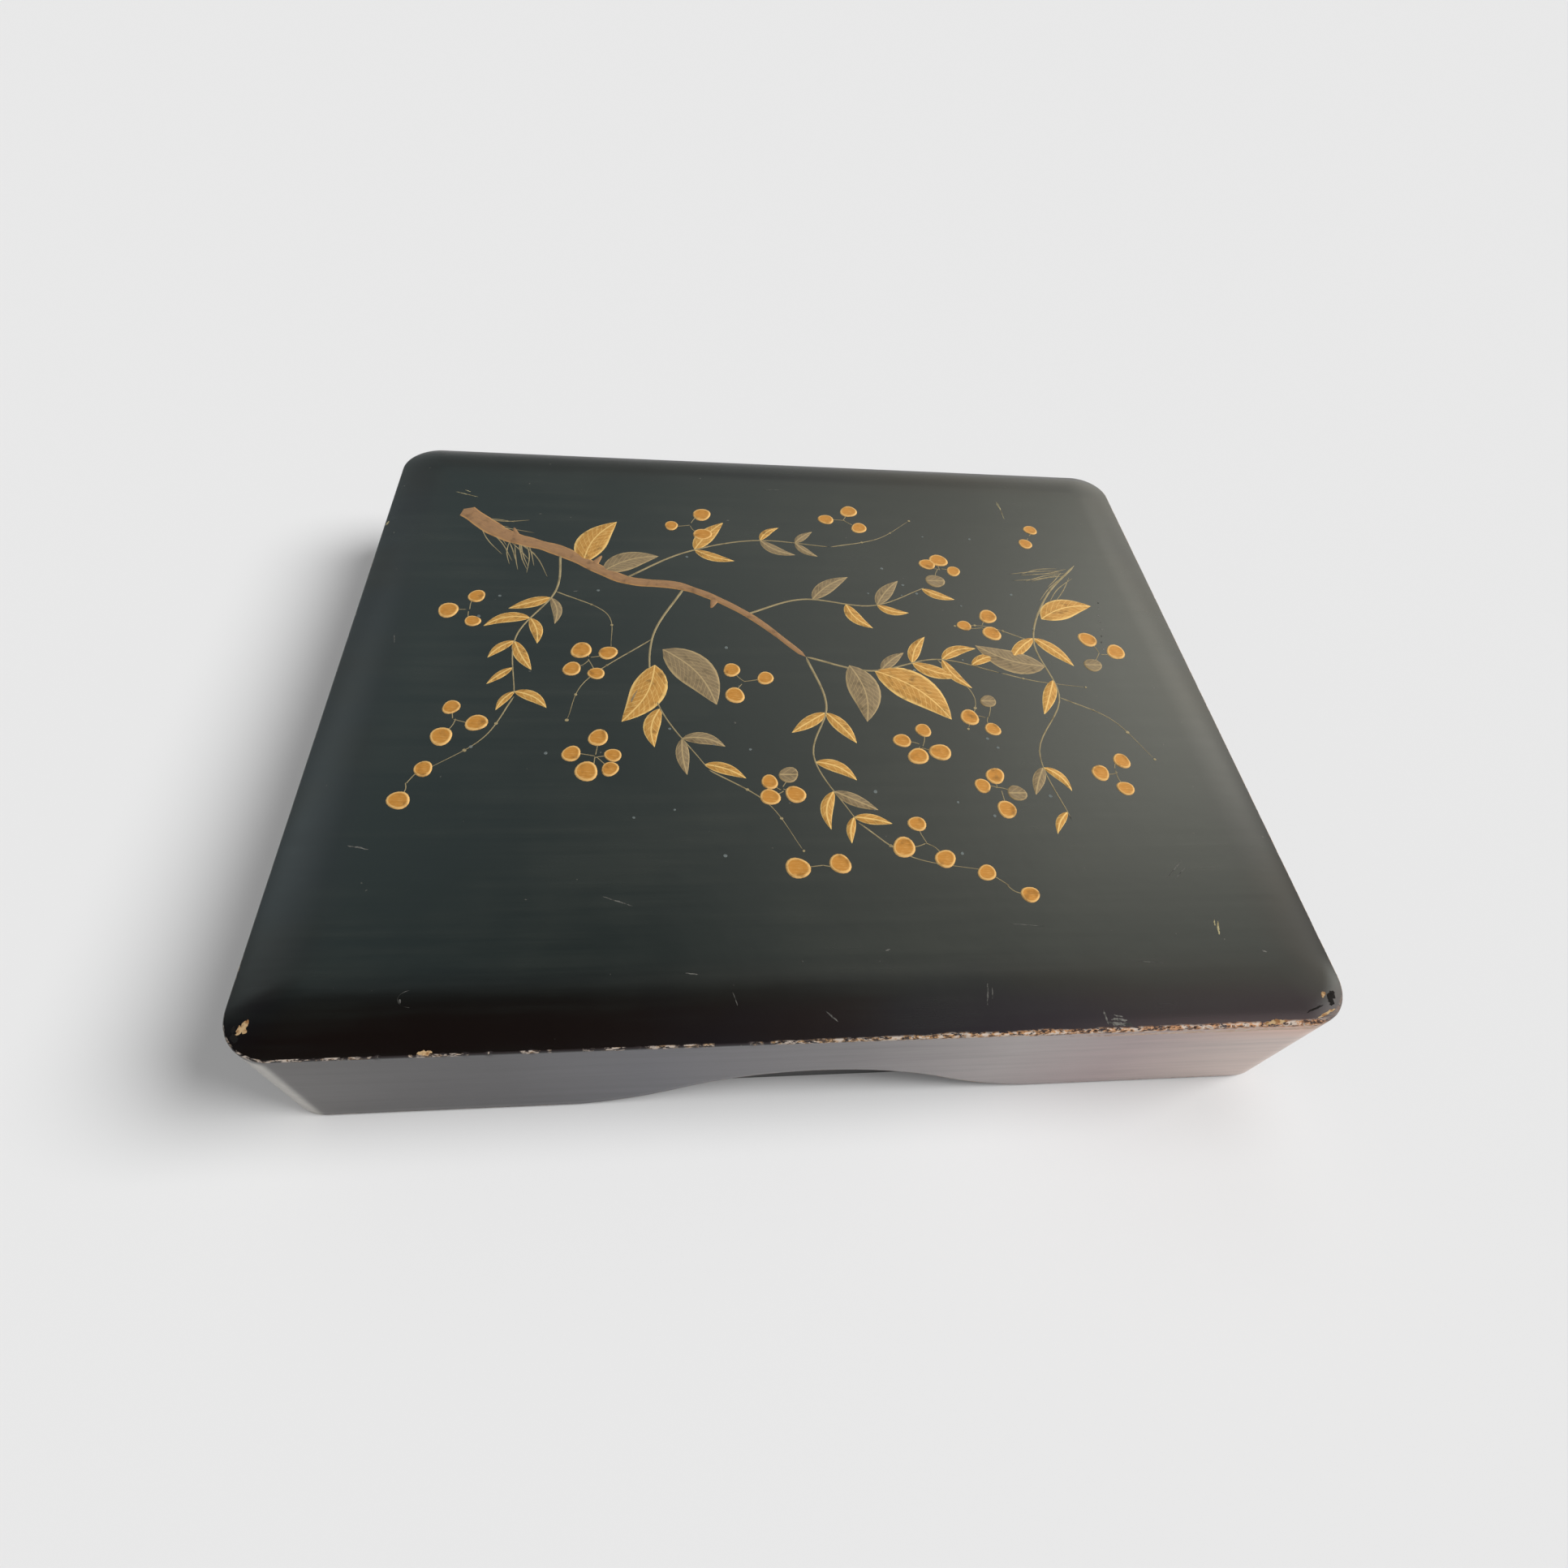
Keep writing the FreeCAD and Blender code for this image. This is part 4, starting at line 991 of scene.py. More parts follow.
@dataclass
class Brushwork:
    """Raised strokes and discs laid on the lid's top, gathered into one shape."""

    lid: LidShell
    sink: float = 0.06
    shape: Shape = field(default_factory=Shape)

    def stroke(self, line: Array, width: Array, height: Array, columns: int = 10) -> None:
        """A closed ribbon of lens section along a line.

        A section's point is line - w cos(a) * left, at the lid's height plus h sin(a) on top
        and a little under the surface below; widths of 0 close the ends.

        Args:
            line: places, n × 2.
            width: half widths.
            height: how far its middle stands up.
            columns: points round the section.
        """
        run = np.gradient(line, axis=0)
        run /= np.linalg.norm(run, axis=1, keepdims=True)
        left = np.stack([-run[:, 1], run[:, 0]], axis=-1)
        angle = np.linspace(0.0, 2 * math.pi, columns + 1)
        across = np.cos(angle)
        plan = line[:, None] - (width[:, None] * across)[..., None] * left[:, None]
        rise = np.sin(angle)
        lift = np.where(rise > 0, height[:, None] * rise, self.sink * rise)
        level = self.lid.height(plan[..., 0], plan[..., 1]) + lift
        length = np.concatenate(
            [[0.0], np.cumsum(np.linalg.norm(np.diff(line, axis=0), axis=1))]
        )
        wrap = np.stack(
            np.broadcast_arrays(length[:, None], -width[:, None] * across), axis=-1
        )
        share = np.broadcast_to(np.abs(across), level.shape)
        self.shape.grid(np.concatenate([plan, level[..., None]], axis=-1), wrap, share)

    def disc(
        self, draw: np.random.Generator, centre: tuple[float, float], radius: float,
        rise: float = 0.22,
    ) -> None:
        """A low berry: rings of a slightly uneven circle, domed, with a raised rim.

        Args:
            draw: the random numbers.
            centre: its middle.
            radius: its radius.
            rise: how far it stands up.
        """
        angle = np.linspace(0.0, 2 * math.pi, 19)
        phase = draw.uniform(0.0, 2 * math.pi, 2)
        outline = radius * (
            1 + 0.06 * np.sin(2 * angle + phase[0]) + 0.035 * np.sin(3 * angle + phase[1])
        )
        ring = np.array([0.0, 0.35, 0.66, 0.84, 0.93, 1.0, 0.93, 0.0])
        lift = rise * np.array([0.72, 0.74, 0.8, 1.0, 0.85, 0.0, 0.0, 0.0])
        lift[-2:] = -self.sink
        turn = np.stack([np.cos(angle), np.sin(angle)], axis=-1)
        plan = np.array(centre) + ring[:, None, None] * outline[:, None] * turn
        level = self.lid.height(plan[..., 0], plan[..., 1]) + lift[:, None]
        share = np.broadcast_to(ring[:, None], level.shape)
        points = np.concatenate([plan, level[..., None]], axis=-1)
        self.shape.grid(points, plan - np.array(centre), share)

    def leaf(
        self, base: Array, angle: float, length: float, width: float, bend: float = 0.12,
        rise: float = 0.16,
    ) -> None:
        """A pointed leaflet: half width w sin(pi t^0.8), on a line bent by a share of its length.

        Args:
            base: where it leaves its twig.
            angle: its direction in radians.
            length: its length.
            width: its full width.
            bend: how far its middle is off the straight line, as a share of the length.
            rise: how far its middle stands up.
        """
        t = np.linspace(0.0, 1.0, 13)
        side = bend * np.sin(math.pi * t)
        run = np.array([math.cos(angle), math.sin(angle)])
        left = np.array([-run[1], run[0]])
        line = base + length * (t[:, None] * run + side[:, None] * left)
        half = width / 2 * np.sin(math.pi * t**0.8) ** 0.9
        half[[0, -1]] = 0.0
        self.stroke(line, half, rise * np.minimum(1.0, half / width * 4), 10)


def times(triple: Triple, factor: float) -> Triple:
    """Three numbers, each multiplied by one factor."""
    return tuple(factor * value for value in triple)


@dataclass(frozen=True)
class GoldPaint(Finish):
    """Powdered gold or bronze on lacquer: brushed along its length, paler at its rim."""

    name: str
    middle: Colour
    rim: Colour
    rim_from: float = 0.80
    metallic: float = 0.25
    vein_gap: float = 0.0
    vein_slant: float = 1.3
    ground: Colour = (0.03, 0.024, 0.015)

    def surface(self, graph: Graph) -> Surface:
        """The paint's shader; leaves get a midrib and slanting veins, a gap apart."""
        here = graph.place()
        wrap = graph.wrap()
        brushed = graph.grain(wrap, (0.35, 3.2, 1.0), 3.0, 0.6)
        cloud = graph.noise(here, 0.35, 3.0)
        powder = graph.noise(here, 6.0, 2.0)
        rim = graph.step(graph.share(), self.rim_from - 0.08, self.rim_from + 0.08)
        colour = graph.blend(rim * 0.85, self.middle, self.rim)
        colour = graph.blend(graph.step(brushed, 0.48, 0.72) * 0.55, colour, self.rim)
        colour = graph.blend(graph.step(cloud, 0.5, 0.72) * 0.6, colour, times(self.middle, 0.55))
        if self.vein_gap:
            u, v, _ = graph.axes(wrap)
            slant = graph.beside(u - abs(v) * self.vein_slant, self.vein_gap)
            vein = graph.fall(slant, 0.06, 0.2)
            rib = graph.fall(abs(v), 0.10, 0.26)
            colour = graph.blend(rib.most(vein * 0.55) * 0.9, colour, self.rim)
        # Where the gold is worn through to the lacquer under it.
        wear_and_highlight = graph.step(powder * 0.5 + cloud * 0.5, 0.62, 0.66)
        colour = graph.blend(wear_and_highlight * 0.7, colour, self.ground)
        return Surface(
            colour=colour,
            roughness=0.42 + 0.16 * cloud,
            metallic=self.metallic * (1.0 - wear_and_highlight),
            normal=graph.bump(brushed * 0.6 + powder * 0.4, 0.5, 0.00008),
        )


BERRY_GOLD = GoldPaint("berry_gold", (0.52, 0.225, 0.036), (0.84, 0.52, 0.19))
LEAF_GOLD = GoldPaint("leaf_gold", (0.50, 0.245, 0.052), (0.84, 0.56, 0.20), 0.86, vein_gap=2.2)
LEAF_GREY = GoldPaint(
    "leaf_grey_gold", (0.215, 0.155, 0.085), (0.44, 0.32, 0.16), 0.88, 0.12, vein_gap=1.8
)
TWIG_TAN = GoldPaint("twig_tan", (0.30, 0.165, 0.080), (0.50, 0.27, 0.10), 0.84, 0.12)
STEM_GOLD = GoldPaint("stem_grey_gold", (0.30, 0.235, 0.125), (0.52, 0.42, 0.22), 0.9, 0.15)
SPECK_GREY = GoldPaint("tarnished_speck", (0.115, 0.135, 0.135), (0.20, 0.22, 0.21), 0.9, 0.1)


@dataclass
class Decoration:
    """A generic painting of berried twigs, laid out afresh on the lid's field.

    A stout twig comes in at the back left corner and divides; slender leaflets stand along
    its branches in pairs, broad leaves hang from its forks, and loose clusters of berries
    and a few tarnished specks lie beside them.
    """

    lid: LidShell
    seed: int = 31
    trunk: tuple = ((-98, 68), (-84, 56), (-67, 49), (-48, 37), (-30, 34), (-12, 23), (4, 6))
    stubs: tuple = ((-80, 54, 1.9, 6.0), (-57, 43, 1.1, 5.0), (-21, 29, -1.9, 4.0))
    branches: tuple = (
        ((-67, 49), (-67, 31), (-76, 12), (-74, -10)),
        ((-48, 37), (-30, 50), (-8, 57), (16, 55)),
        ((-30, 34), (-39, 12), (-37, -12), (-24, -34)),
        ((4, 6), (22, 1), (42, 6), (60, 1)),
        ((-12, 23), (5, 30), (26, 28), (44, 37)),
        ((4, 6), (8, -12), (3, -30), (12, -50)),
    )
    spray: tuple = ((96, 50), (82, 34), (73, 14), (75, -8), (64, -28), (67, -50))
    hairs: tuple = (
        ((-74, -10), (-80, -24), (-92, -34)), ((-24, -34), (-10, -44), (-2, -58)),
        ((60, 1), (70, -2), (84, -4)), ((12, -50), (24, -60), (42, -64)),
        ((-67, 31), (-52, 22), (-50, 8)), ((42, 6), (50, -8), (46, -20)),
        ((73, 14), (60, 20), (50, 20)), ((16, 55), (32, 60), (44, 70)),
        ((-39, 12), (-56, -4), (-60, -18)), ((75, -8), (88, -16), (96, -30)),
    )
    broad: tuple = (
        (-36, 8, -0.95, 25.0, 11.0, "grey"), (-38, 2, -1.95, 22.0, 9.5, "leaf"),
        (23, 1, -0.75, 26.0, 11.5, "leaf"), (16, 3, -1.45, 21.0, 9.0, "grey"),
        (78, 24, 0.35, 19.0, 8.5, "leaf"), (-60, 44, 1.15, 22.0, 9.5, "leaf"),
        (-54, 40, 0.45, 18.0, 8.0, "grey"), (74, 4, 2.75, 21.0, 9.0, "grey"),
    )
    clusters: tuple = (
        (-90, 22, 3), (-56, 4, 4), (-88, -18, 3), (-52, -30, 5), (-6, -40, 4), (28, -56, 3),
        (32, -26, 4), (52, -16, 3), (58, 20, 3), (22, 69, 3), (50, 46, 4), (92, 10, 3),
        (50, -40, 4), (84, -34, 3), (-28, 64, 3), (84, 64, 2), (-14, -4, 3), (46, -68, 2),
        (-96, -38, 2), (2, -62, 2),
    )
    specks: int = 46
    speck_half: tuple[float, float] = (92.0, 66.0)

    def build(self) -> None:
        """Makes the twigs, leaves, berries and specks as one piece for each finish."""
        draw = np.random.default_rng(self.seed)
        kinds = {
            "twig": ("painted_twig", TWIG_TAN), "stem": ("painted_stems", STEM_GOLD),
            "leaf": ("painted_gold_leaves", LEAF_GOLD),
            "grey": ("painted_grey_leaves", LEAF_GREY),
            "berry": ("painted_berries", BERRY_GOLD),
            "speck": ("painted_specks", SPECK_GREY),
        }
        work = {name: Brushwork(self.lid) for name in kinds}
        trunk = flow(self.trunk, 70)
        share = np.linspace(0.0, 1.0, 70)
        knot = 1 + 0.13 * ripple(draw, share * 100.0, 40.0, 6.0)
        self.taper(work["twig"], trunk, (2.9 - 2.2 * share) * knot, 0.22)
        for x, y, angle, length in self.stubs:
            tip = (x + length * math.cos(angle), y + length * math.sin(angle))
            self.taper(work["twig"], flow([(x, y), tip], 10), np.linspace(1.3, 0.3, 10), 0.2)
        for points in (*self.branches, self.spray):
            self.branch(draw, work, flow(list(points), 40))
        for points in self.hairs:
            line = flow(list(points), 26)
            self.taper(work["stem"], line, np.linspace(0.20, 0.06, 26), 0.05)
            for at in (8, 17, 25):
                work["stem"].disc(draw, tuple(line[at]), draw.uniform(0.3, 0.55), 0.08)
        for x, y, angle, length, width, key in self.broad:
            work[key].leaf(np.array([x, y], float), angle, length, width, 0.10, 0.2)
        for x, y, count in self.clusters:
            self.cluster(draw, work, np.array([x, y], float), count)
        for _ in range(self.specks):
            spot = draw.uniform(-1.0, 1.0, 2) * self.speck_half
            work["speck"].disc(draw, tuple(spot), draw.uniform(0.22, 0.5), 0.05)
        self.grass(draw, work["stem"])
        for key, (name, finish) in kinds.items():
            work[key].shape.piece(name, finish, "lid", Slot.GILT, 75.0)

    def taper(self, work: Brushwork, line: Array, width: Array, rise: float) -> None:
        """A stroke with closed ends, standing up less where it is thin.

        Args:
            work: the brushwork it is added to.
            line: its places.
            width: its half widths.
            rise: how far it stands up where it is widest.
        """
        width = width.copy()
        width[[0, -1]] = 0.0
        work.stroke(line, width, rise * np.minimum(1.0, width / width.max() * 2), 10)

    def branch(self, draw: np.random.Generator, work: dict, line: Array) -> None:
        """A thin stem with pairs of leaflets that shorten towards its tip.

        Args:
            draw: the random numbers.
            work: the brushwork for each finish.
            line: the stem's places.
        """
        share = np.linspace(0.0, 1.0, len(line))
        self.taper(work["stem"], line, 0.36 - 0.22 * share, 0.09)
        run = np.gradient(line, axis=0)
        heading = np.arctan2(run[:, 1], run[:, 0])
        for place in (0.40, 0.55, 0.70, 0.85, 0.99):
            at = int(place * (len(line) - 1))
            for sign in (-1, 1):
                if draw.random() < 0.28:
                    continue
                length = draw.uniform(11.0, 18.0) * (1.12 - 0.45 * place)
                angle = heading[at] + sign * draw.uniform(0.45, 0.95)
                key = "grey" if draw.random() < 0.36 else "leaf"
                work[key].leaf(
                    line[at], angle, length, length * draw.uniform(0.26, 0.34),
                    sign * draw.uniform(-0.04, 0.14),
                )

    def cluster(
        self, draw: np.random.Generator, work: dict, centre: Array, count: int
    ) -> None:
        """A few berries round a place, each on a hair-thin stalk.

        Args:
            draw: the random numbers.
            work: the brushwork for each finish.
            centre: the cluster's place.
            count: how many berries.
        """
        start = draw.uniform(0.0, 2 * math.pi)
        for number in range(count):
            angle = start + number * 2 * math.pi / count + draw.uniform(-0.35, 0.35)
            far = draw.uniform(3.6, 6.4)
            berry = centre + far * np.array([math.cos(angle), math.sin(angle)])
            key = "grey" if draw.random() < 0.10 else "berry"
            work[key].disc(draw, (berry[0], berry[1]), draw.uniform(2.1, 2.95))
            hub = centre + draw.uniform(-0.6, 0.6, 2)
            bow = (hub + berry) / 2 + draw.uniform(-0.8, 0.8, 2)
            line = flow([tuple(hub), tuple(bow), tuple(berry)], 12)
            self.taper(work["stem"], line, np.full(12, 0.12), 0.06)

    def grass(self, draw: np.random.Generator, work: Brushwork) -> None:
        """Fine gold strokes fanned from the twig's foot and the spray's foot.

        Args:
            draw: the random numbers.
            work: the brushwork they are added to.
        """
        for foot, heading in (((-92, 62), -0.5), ((-81, 54), -1.3), ((92, 46), -2.5)):
            for _ in range(11):
                angle = heading + draw.uniform(-0.55, 0.55)
                length = draw.uniform(9.0, 22.0)
                start = np.array(foot, float) + draw.uniform(-2.5, 2.5, 2)
                run = np.array([math.cos(angle), math.sin(angle)])
                left = np.array([-run[1], run[0]]) * draw.uniform(-0.08, 0.08)
                points = [
                    tuple(start + length * (t * run + 4 * t * (1 - t) * left))
                    for t in (0.0, 0.5, 1.0)
                ]
                width = 0.13 * np.sin(math.pi * np.linspace(0.0, 1.0, 14)) + 0.03
                self.taper(work, flow(points, 14), width, 0.05)


@dataclass(frozen=True)
class Rubbed(Finish):
    """A scratch, a chip, or the painted shade of a hole: one tone, broken up by another, dull and a
    little uneven.
    """

    name: str
    tone: Colour
    broken: Colour
    roughness: float = 0.55

    def surface(self, graph: Graph) -> Surface:
        """The mark's shader."""
        here = graph.place()
        cloud = graph.noise(here, 0.9, 3.0, 0.6)
        return Surface(
            colour=graph.blend(graph.step(cloud, 0.42, 0.62), self.tone, self.broken),
            roughness=self.roughness + 0.2 * cloud,
            normal=graph.bump(cloud, 0.5, 0.0001),
        )


DULL_SCRATCH = Rubbed("dull_scratch", (0.16, 0.155, 0.14), (0.03, 0.03, 0.028))
BRIGHT_SCRATCH = Rubbed("bright_scratch", (0.46, 0.40, 0.22), (0.12, 0.09, 0.04))
CHIPPED_WOOD = Rubbed("chipped_wood", (0.52, 0.36, 0.19), (0.26, 0.13, 0.05), 0.7)
# Painted shade: near black, laid where a hole is, for the shade inside it.
HOLE_SHADE = Rubbed("painted_hole_shade", (0.0015, 0.0012, 0.001), (0.004, 0.003, 0.002), 0.8)


@dataclass
class Marks:
    """Scratches and chips that years of use have left on the lid, and painted shade where it has
    holes.

    A mark is its start, its end and its half width on the lid's top, x before y. The dots are
    their first and last place and their number, and the ring is its middle and its radius.
    """

    lid: LidShell
    seed: int = 5
    grey: tuple = (
        (-105.3, -55.3, -100.3, -56.4, 0.16), (86.4, -66.6, 91.8, -62.0, 0.10),
        (88.4, -66.9, 92.2, -63.8, 0.08), (-0.6, -97.0, 2.0, -99.2, 0.14),
        (35.7, -92.1, 34.9, -96.9, 0.16), (36.6, -93.0, 36.2, -95.6, 0.08),
        (-48.3, -69.3, -41.4, -71.9, 0.13), (-30.0, -88.0, -27.0, -88.4, 0.10),
        (60.8, -98.5, 61.5, -101.6, 0.20), (61.2, -101.2, 67.2, -101.9, 0.34),
        (62.2, -100.5, 66.0, -100.9, 0.26), (63.0, -99.7, 65.2, -100.2, 0.13),
        (14.0, -84.0, 15.2, -83.6, 0.14), (-62.0, 31.0, -60.4, 31.4, 0.10),
        (103.0, -86.0, 104.0, -86.6, 0.20), (-108.0, 12.0, -107.4, 9.0, 0.08),
        (-87.2, -92.0, -87.0, -92.8, 0.22),
        (-20.0, -92.5, -19.0, -95.5, 0.07), (72.0, -88.0, 78.0, -88.6, 0.07),
        (-4.0, 84.0, 3.0, 84.6, 0.07), (44.0, -78.0, 52.0, -78.8, 0.06),
    )
    gold: tuple = (
        (-101.7, 76.7, -94.4, 74.3, 0.13), (-99.0, 77.8, -97.0, 76.8, 0.10),
        (77.4, 82.5, 77.6, 73.0, 0.13), (76.8, 82.6, 77.2, 79.0, 0.14),
        (95.0, -78.4, 94.0, -81.9, 0.24), (94.3, -78.0, 93.8, -79.6, 0.14),
        (-120.0, 63.6, -120.4, 61.8, 0.30),
    )
    chips: tuple = (
        (-117.3, -97.6, -115.3, -94.9, 0.62), (-116.8, -96.2, -115.2, -97.4, 0.42),
        (-82.6, -102.4, -79.6, -102.3, 0.40), (113.6, -97.2, 114.9, -96.1, 0.42),
        (111.0, -101.7, 116.4, -99.8, 0.26), (98.0, -102.4, 103.5, -102.2, 0.42),
    )
    # Holes, each drawn as a near-black patch of painted shade.
    holes: tuple = (
        (115.1, -99.0, 117.3, -95.6, 0.78), (-118.0, -97.3, -116.9, -99.0, 0.52),
        (-118.3, -96.0, -117.7, -97.0, 0.40), (108.6, -100.6, 113.4, -99.0, 0.20),
    )
    dots: tuple = ((98.7, 32.7), (93.9, 11.8), 8)
    ring_mark: tuple = (-84.6, -91.9, 2.3)
    ring_stretch: tuple[float, float] = (1.3, 0.8)
    ring_span: Range = (1.9, 4.6)
    ring_half: float = 0.045

    def build(self) -> None:
        """Makes the marks as one piece for each kind."""
        draw = np.random.default_rng(self.seed)
        kinds = (
            ("lid_scratches", self.grey, DULL_SCRATCH, Slot.LACQUER),
            ("lid_bright_scratches", self.gold, BRIGHT_SCRATCH, Slot.LACQUER),
            ("lid_chips", self.chips, CHIPPED_WOOD, Slot.WOOD),
            ("lid_hole_shade", self.holes, HOLE_SHADE, Slot.LACQUER),
        )
        for name, marks, finish, slot in kinds:
            brush = Brushwork(self.lid, sink=0.04)
            for x0, y0, x1, y1, half in marks:
                self.mark(draw, brush, (x0, y0), (x1, y1), half)
            if marks is self.grey:
                self.dotted(draw, brush)
                self.ring(brush)
            brush.shape.piece(name, finish, "lid", slot, 75.0)

    def dotted(self, draw: np.random.Generator, brush: Brushwork) -> None:
        """A straight row of short marks.

        Args:
            draw: the random numbers.
            brush: the brushwork they are added to.
        """
        first, last, count = self.dots
        for share in np.linspace(0.0, 1.0, count):
            spot = np.array(first) * (1 - share) + np.array(last) * share
            spot += draw.uniform(-0.3, 0.3, 2)
            self.mark(draw, brush, tuple(spot), tuple(spot + (0.0, -0.7)), 0.24)

    def ring(self, brush: Brushwork) -> None:
        """Part of the faint ring that something round has left: an arc of uneven width."""
        x, y, radius = self.ring_mark
        angle = np.linspace(*self.ring_span, 44)
        turn = np.stack([np.cos(angle), np.sin(angle)], axis=-1) * self.ring_stretch
        width = self.ring_half * np.abs(np.sin(angle * 2.3)) ** 2
        width[[0, -1]] = 0.0
        brush.stroke(np.array([x, y]) + radius * turn, width, np.full(44, 0.02), 6)

    def mark(
        self, draw: np.random.Generator, brush: Brushwork, first: tuple[float, float],
        last: tuple[float, float], half: float,
    ) -> None:
        """One mark: a ribbon whose width wanders and closes at both ends.

        Args:
            draw: the random numbers.
            brush: the brushwork it is added to.
            first: where it starts.
            last: where it ends.
            half: its greatest half width.
        """
        share = np.linspace(0.0, 1.0, 16)
        line = np.array(first) * (1 - share[:, None]) + np.array(last) * share[:, None]
        run = line[-1] - line[0]
        left = np.array([-run[1], run[0]]) / np.linalg.norm(run)
        line = line + (ripple(draw, share * 10, 12.0, 2.0) * half * 0.5)[:, None] * left
        width = half * np.sqrt(np.sin(math.pi * share))
        width *= 1 + 0.4 * ripple(draw, share * 10, 5.0, 1.2)
        width[[0, -1]] = 0.0
        brush.stroke(line, np.abs(width), np.full(16, 0.03), 8)


@dataclass(frozen=True)
class Lacquer(Finish):
    """Polished lacquer with soft clouding, an optional gold line at a height and gold dust."""

    name: str
    colour: Colour = (0.006, 0.0052, 0.005)
    polish: float = 0.16
    line_height: float = -1.0
    dust: float = 0.0
    line_gold: Colour = (0.46, 0.27, 0.07)
    dust_gold: Colour = (0.42, 0.25, 0.075)

    def surface(self, graph: Graph) -> Surface:
        """The lacquer's shader."""
        here = graph.place()
        _, _, z = graph.axes(here)
        cloud = graph.noise(here, 0.05, 3.0)
        streak = graph.grain(here, (0.02, 0.5, 0.5), 4.0)
        warm = tuple(1.9 * value + 0.004 for value in self.colour)
        colour = graph.blend(cloud * streak * 1.6, self.colour, warm)
        roughness = self.polish + 0.10 * cloud + 0.06 * streak
        metal: Any = 0.0
        if self.dust:
            speck = graph.step(graph.noise(here, 2.6, 1.0), 0.735 - self.dust, 0.76 - self.dust)
            colour = graph.blend(speck, colour, self.dust_gold)
            metal = speck * 0.6
        if self.line_height > 0:
            wander = graph.noise(here, 0.12, 2.0) * 0.3
            line = graph.fall(abs(z + wander - self.line_height - 0.15), 0.35, 0.6)
            colour = graph.blend(line, colour, self.line_gold)
            metal = line * 0.5
            roughness = roughness + line * 0.15
        return Surface(
            colour=colour, roughness=roughness, metallic=metal,
            normal=graph.bump(graph.noise(here, 0.2, 2.0), 0.25, 0.0001),
        )


JOINT_SHIFT = 7.0


@dataclass(frozen=True)
class Grained(Finish):
    """Bare wood or bamboo: long streaks along one axis over a warm ground.

    Bamboo has its joints where x + JOINT_SHIFT is a multiple of joint_every.
    """

    name: str
    pale: Colour
    dark: Colour
    along: Triple = (0.02, 0.9, 0.9)
    roughness: float = 0.6
    joint_every: float = 0.0

    def surface(self, graph: Graph) -> Surface:
        """The wood's shader."""
        here = graph.place()
        grain = graph.grain(here, self.along, 5.0, 0.6)
        fibre = graph.grain(here, times(self.along, 5), 3.0)
        cloud = graph.noise(here, 0.04, 2.0)
        colour = graph.blend(graph.step(grain, 0.35, 0.68), self.pale, self.dark)
        colour = graph.blend(fibre * 0.35, colour, times(self.dark, 0.5))
        height = grain * 0.6 + fibre * 0.4
        if self.joint_every:
            x, _, _ = graph.axes(here)
            joint = graph.fall(graph.beside(x + JOINT_SHIFT, self.joint_every), 0.25, 0.9)
            colour = graph.blend(joint * 0.7, colour, times(self.dark, 0.3))
            height = height + joint * 1.5
        return Surface(
            colour=graph.blend(cloud * 0.3, colour, self.dark),
            roughness=self.roughness + 0.12 * grain,
            normal=graph.bump(height, 0.4, 0.0002),
        )


PALE_BAMBOO = Grained(
    "smooth_bamboo", (0.62, 0.44, 0.20), (0.44, 0.27, 0.10), (0.015, 1.4, 1.4), 0.32, 34.0
)
SPECKLED_BAMBOO = Grained(
    "speckled_bamboo", (0.44, 0.27, 0.11), (0.14, 0.07, 0.035), (0.06, 0.7, 0.7), 0.3, 41.0
)


@dataclass(frozen=True)
class Stone(Finish):
    """Fine slate with pale specks and grey traces of dried ink."""

    name: str = "ink_slate"
    dark: Colour = (0.018, 0.018, 0.022)
    pale: Colour = (0.040, 0.038, 0.044)
    speck: Colour = (0.12, 0.12, 0.13)
    ink: Colour = (0.006, 0.006, 0.007)

    def surface(self, graph: Graph) -> Surface:
        """The stone's shader."""
        here = graph.place()
        bed = graph.grain(here, (0.05, 0.12, 0.6), 4.0)
        speck = graph.step(graph.noise(here, 2.2, 1.0), 0.70, 0.76)
        trace = graph.noise(here, 0.09, 4.0)
        colour = graph.blend(bed, self.dark, self.pale)
        colour = graph.blend(speck * 0.5, colour, self.speck)
        inked = graph.step(trace, 0.5, 0.66)
        colour = graph.blend(inked * 0.7, colour, self.ink)
        return Surface(
            colour=colour, roughness=0.52 - inked * 0.2 + bed * 0.1,
            normal=graph.bump(graph.noise(here, 1.4, 4.0), 0.35, 0.0001),
        )


@dataclass(frozen=True)
class Metal(Finish):
    """Metal with patina in its hollows and fine working marks."""

    name: str
    bright: Colour
    patina: Colour
    patina_share: float = 0.5
    marks: Triple = (0.4, 3.0, 3.0)
    roughness: float = 0.32

    def surface(self, graph: Graph) -> Surface:
        """The metal's shader."""
        here = graph.place()
        cloud = graph.noise(here, 0.14, 4.0, 0.6)
        marks = graph.grain(here, self.marks, 3.0)
        old = graph.step(cloud, 0.72 - self.patina_share * 0.5, 0.80 - self.patina_share * 0.35)
        colour = graph.blend(old, self.bright, self.patina)
        return Surface(
            colour=graph.blend(marks * 0.25, colour, self.patina),
            metallic=1.0 - old * 0.35,
            roughness=self.roughness + old * 0.16 + marks * 0.1,
            normal=graph.bump(marks, 0.3, 0.00006),
        )


